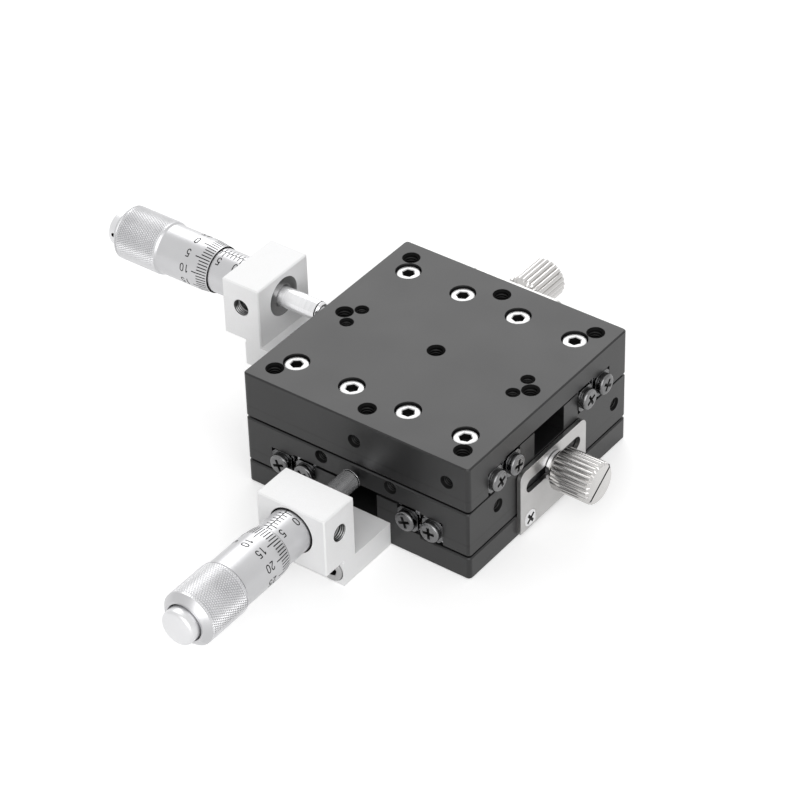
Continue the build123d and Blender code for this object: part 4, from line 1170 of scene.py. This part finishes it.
# ---- Threads in the tapped holes ----
def tapped_well(shell, placed, size, blind=True):
    """Lining of a hole, painted black as the shade inside it, with the ridge of its thread; the frame's
    third axis points out of it.
    """
    bore, mouth, pitch, turns = size
    first = len(shell.points)
    lip = 2 * LINING_GAP
    sink = max(lip, mouth - bore)
    end = -sink - pitch * turns - THREAD_FLOOR
    floor = end + 2 * LINING_WALL
    outer = [(-lip, mouth - lip - LINING_GAP), (-sink - LINING_GAP, bore - LINING_GAP),
             (end, bore - LINING_GAP)]
    inner = [(s, r - LINING_WALL) for s, r in reversed(outer)]
    inner[0] = (floor, inner[0][1])
    if blind:
        outer.append((end, 0))
        inner.insert(0, (floor, 0))
    rings = [shell.ring(s, r, even_angles(LINING_ROUND)) for s, r in outer + inner]
    # The lining takes the black paint, as shade inside the hole
    for a, b in zip(rings, rings[1:]):
        if len(a[1]) > 1 or len(b[1]) > 1:
            shell.join(a, b, 1)
    shell.join(rings[-1], rings[0], 1)
    foot = bore - lip
    flank = pitch * THREAD_FLANK
    last = turns * THREAD_STEPS
    rows = []
    for k in range(last + 1):
        a = 2 * math.pi * k / THREAD_STEPS
        s = -sink - THREAD_LEAD - pitch * k / THREAD_STEPS
        ridge = bore - THREAD_HEIGHT * min(1.0, k / THREAD_FADE, (last - k) / THREAD_FADE)
        rows.append([shell.point(r * math.sin(a), r * math.cos(a), s + rise)
                     for r, rise in ((foot, flank), (ridge, 0), (foot, -flank))])
    shell.stack(rows)
    shell.move(first, placed)


def tapped_holes():
    """The holes of each plate: place, direction, size, and whether it ends in the plate."""
    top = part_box("table_plate")[1].z / MM
    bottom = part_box("base_plate")[0].z / MM
    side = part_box("middle_plate")[1].x / MM
    holes = {"base": [], "middle": [], "table": []}
    for x in GRID:
        for y in GRID:
            holes["table"].append(((x, y, top), (0, 0, 1), M4_THREAD, y != 0))
            if x and y:
                holes["base"].append(((x, y, bottom), (0, 0, -1), M4_THREAD, False))
    for x in (-SMALL_TAPS[0], SMALL_TAPS[0]):
        for y in (-SMALL_TAPS[1], SMALL_TAPS[1]):
            holes["table"].append(((x, y, top), (0, 0, 1), M3_THREAD, True))
    for body, spots in FRONT_TAPS.items():
        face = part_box(f"{body}_plate")[0].y / MM
        holes[body] += [((x, face, z), (0, -1, 0), M3_SIDE_THREAD, True) for x, z in spots]
    holes["middle"] += [((side, y, z), (1, 0, 0), M3_SIDE_THREAD, True) for y, z in SIDE_TAPS]
    return holes


def make_threads():
    """Linings painted black as shade, and thread ridges, of the holes that show, one piece for each body
    and each bracket.
    """
    for body, holes in tapped_holes().items():
        shell = Shell()
        for origin, way, size, blind in holes:
            tapped_well(shell, facing(Vector(origin) * MM, way), size, blind)
        piece = shell.make(f"{body}_threads", Matrix.Identity(4), [THREAD, INK_AND_SHADE])
        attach(piece, body)
    for axis, facts in AXES.items():
        head = head_frame(axis)
        _, far = span_of(axis, "bracket")
        mouth = head @ Vector((BRACKET_HALF, 0, (BLOCK_NEAR + far) / 2))
        way = (head.to_3x3() @ Vector((1, 0, 0))).normalized()
        # Painted shade: the bracket's ridges are the darker steel, and its lining is painted black
        shell = Shell()
        tapped_well(shell, facing(mouth, way), SET_THREAD, False)
        piece = shell.make(f"{axis}_bracket_thread", Matrix.Identity(4), [SHADED_STEEL, INK_AND_SHADE])
        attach(piece, facts["fixed"])


# ---- Parts that keep their shape and get a finish ----
# How fast the brushed grain changes
SHEET_GRAIN = (60.0, 6000.0)    # through the clamp plate, and along its faces
SPINDLE_GRAIN = (9000.0, 40.0)    # along the spindle, and across it
RAIL_GRAIN = {"lower": (200.0, 30.0, 6000.0), "upper": (30.0, 200.0, 6000.0)}    # along X, Y and Z
RAIL_SIDES = {"lower": ("left", "right"), "upper": ("front", "back")}


def paint_nodes(names, material):
    for name in names:
        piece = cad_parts[name]
        piece.data.materials.clear()
        piece.data.materials.append(material)


def finish_axis(axis, out):
    """One micrometer with its bracket, spring and lock."""
    # Painted shade: the bracket is painted near black inside the recess round the barrel
    recess = (head_frame(axis).translation, out, RECESS[0] * MM, RECESS[1] * MM)
    blasted = grained(f"blasted_silver_{axis}", 0.1, grey(0.82), grey(0.88, 0.885), (0.50, 0.60),
                      0.14, 0.25, edge=WORN_EDGE, shaded_bores=[recess])
    lock = LOCKS[axis]
    sheet = brushed(f"brushed_sheet_{axis}", (0.44, 0.435, 0.43), (0.56, 0.555, 0.55), (0.28, 0.38),
                    [SHEET_GRAIN[1 if c else 0] for c in (lock[1], lock[0], 1)],
                    0.15, edge=WORN_EDGE)
    ground = brushed(f"ground_spindle_{axis}", grey(0.74, 0.75), grey(0.90, 0.91), (0.14, 0.22),
                     [SPINDLE_GRAIN[0 if c else 1] for c in out], 0.7, metallic=0.8, depth=0.03)
    make_sleeve(axis, CHROME)
    make_thimble(axis, CHROME)
    make_cap(axis, CAP)
    make_spindle(axis, ground)
    make_spring(axis)
    make_knob(axis)
    paint_nodes([f"{axis}_tip_ball"], STEEL)
    paint_nodes([f"{axis}_clamp_plate"], sheet)
    paint_nodes([f"{axis}_bracket"], blasted)
    paint_nodes([f"{axis}_set_screw"], DARK_SCREW)
    paint_nodes([f"{axis}_adjusting_nut", f"{axis}_rollers", f"{axis}_spring_post",
                 f"{axis}_spring_hanger", f"{axis}_lock_washer"], BRIGHT)


def finish_rails(axis):
    ground = brushed(f"ground_rail_{axis}", grey(0.50, 0.51), grey(0.66, 0.67), (0.2, 0.3),
                     RAIL_GRAIN[axis], 0.2, edge=WORN_EDGE)
    for side in RAIL_SIDES[axis]:
        paint_nodes([f"{axis}_inner_rail_{side}", f"{axis}_outer_rail_{side}"], ground)
        paint_nodes([f"{axis}_cage_{side}"], BRASS)


# ---- Studio ----
WORLD_LIGHT = 0.6
FLOOR_GLOW = 0.42    # lifts the floor to white for the camera and in reflections
FLOOR_TONE = 0.75
FLOOR_ROUGH = 0.9
FLOOR_REACH = 3
FLOOR_GAP = 0.0001
LAMPS = {    # direction from the stage, distance, size, radiance
    "back_softbox": ((-0.478, 0.629, 0.612), 1.0, 0.7, 1.95),
    "key_softbox": ((0.5, -0.55, 0.5), 1.1, 1.1, 1.8),
}


def add_light(name, direction, distance, size, radiance):
    lamp = bpy.data.lights.new(name, "AREA")
    lamp.shape = "SQUARE"
    lamp.size = size
    lamp.energy = radiance * math.pi * size * size
    holder = add_object(name, lamp)
    away = Vector(direction).normalized()
    holder.location = away * distance
    holder.rotation_mode = "QUATERNION"
    holder.rotation_quaternion = away.to_track_quat("Z", "Y")


def by_ray(tree, kinds, low, high, socket):
    """Sets a socket to high for rays of some kinds and to low for all others."""
    path = tree.nodes.new("ShaderNodeLightPath")
    seen = path.outputs[f"Is {kinds[0]} Ray"]
    for kind in kinds[1:]:
        seen = maths(tree, "MAXIMUM", seen, path.outputs[f"Is {kind} Ray"])
    inputs = {"Value": seen, "To Min": low, "To Max": high}
    tree.links.new(shader_node(tree, "MapRange", "Result", inputs=inputs), socket)


def make_world():
    """White to the camera and in reflections, a calmer level as light."""
    world = bpy.data.worlds.new("studio")
    bpy.context.scene.world = world
    world.use_nodes = True
    background = world.node_tree.nodes["Background"]
    background.inputs["Color"].default_value = (1, 1, 1, 1)
    by_ray(world.node_tree, ("Camera", "Glossy", "Transmission"), WORLD_LIGHT, 1.0,
           background.inputs["Strength"])


def make_floor():
    corners = [(-1, -1), (1, -1), (1, 1), (-1, 1)]
    mesh = bpy.data.meshes.new("floor")
    mesh.from_pydata([(x * FLOOR_REACH, y * FLOOR_REACH, 0) for x, y in corners], [], [(0, 1, 2, 3)])
    floor = add_object("floor", mesh)
    floor.location.z = cad_low.z - FLOOR_GAP
    material = bpy.data.materials.new("floor")
    material.use_nodes = True
    shader = material.node_tree.nodes["Principled BSDF"]
    shader.inputs["Base Color"].default_value = (*grey(FLOOR_TONE), 1)
    shader.inputs["Roughness"].default_value = FLOOR_ROUGH
    shader.inputs["Specular IOR Level"].default_value = 0.0
    shader.inputs["Emission Color"].default_value = (1, 1, 1, 1)
    by_ray(material.node_tree, ("Camera", "Glossy"), 0.0, FLOOR_GLOW, shader.inputs["Emission Strength"])
    mesh.materials.append(material)


def make_camera():
    lens = bpy.data.cameras.new("camera")
    lens.sensor_width = SENSOR_WIDTH
    lens.lens = CAMERA_LENS
    lens.clip_start = 0.05
    lens.clip_end = 20
    camera = add_object("camera", lens)
    turned = (Matrix.Rotation(math.radians(CAMERA_HEADING), 4, "Z")
              @ Matrix.Rotation(math.radians(90 - CAMERA_DIP), 4, "X")
              @ Matrix.Rotation(math.radians(CAMERA_ROLL), 4, "Z"))
    camera.matrix_world = Matrix.Translation(CAMERA_PLACE) @ turned
    bpy.context.scene.camera = camera


for axis, facts in AXES.items():
    finish_axis(axis, facts["out"])
    finish_rails(axis)
paint_nodes(["base_plate", "middle_plate", "table_plate"], BLACK)
paint_nodes(["base_cage_stops", "middle_cage_stops", "table_cage_stops"], DARK_PLATE)
paint_nodes(["base_rail_screws", "middle_rail_screws"], DARK_SCREW)
make_screws()
make_threads()

make_world()
make_floor()
make_camera()
for name, facts in LAMPS.items():
    add_light(name, *facts)
bpy.context.scene.view_settings.view_transform = "Standard"
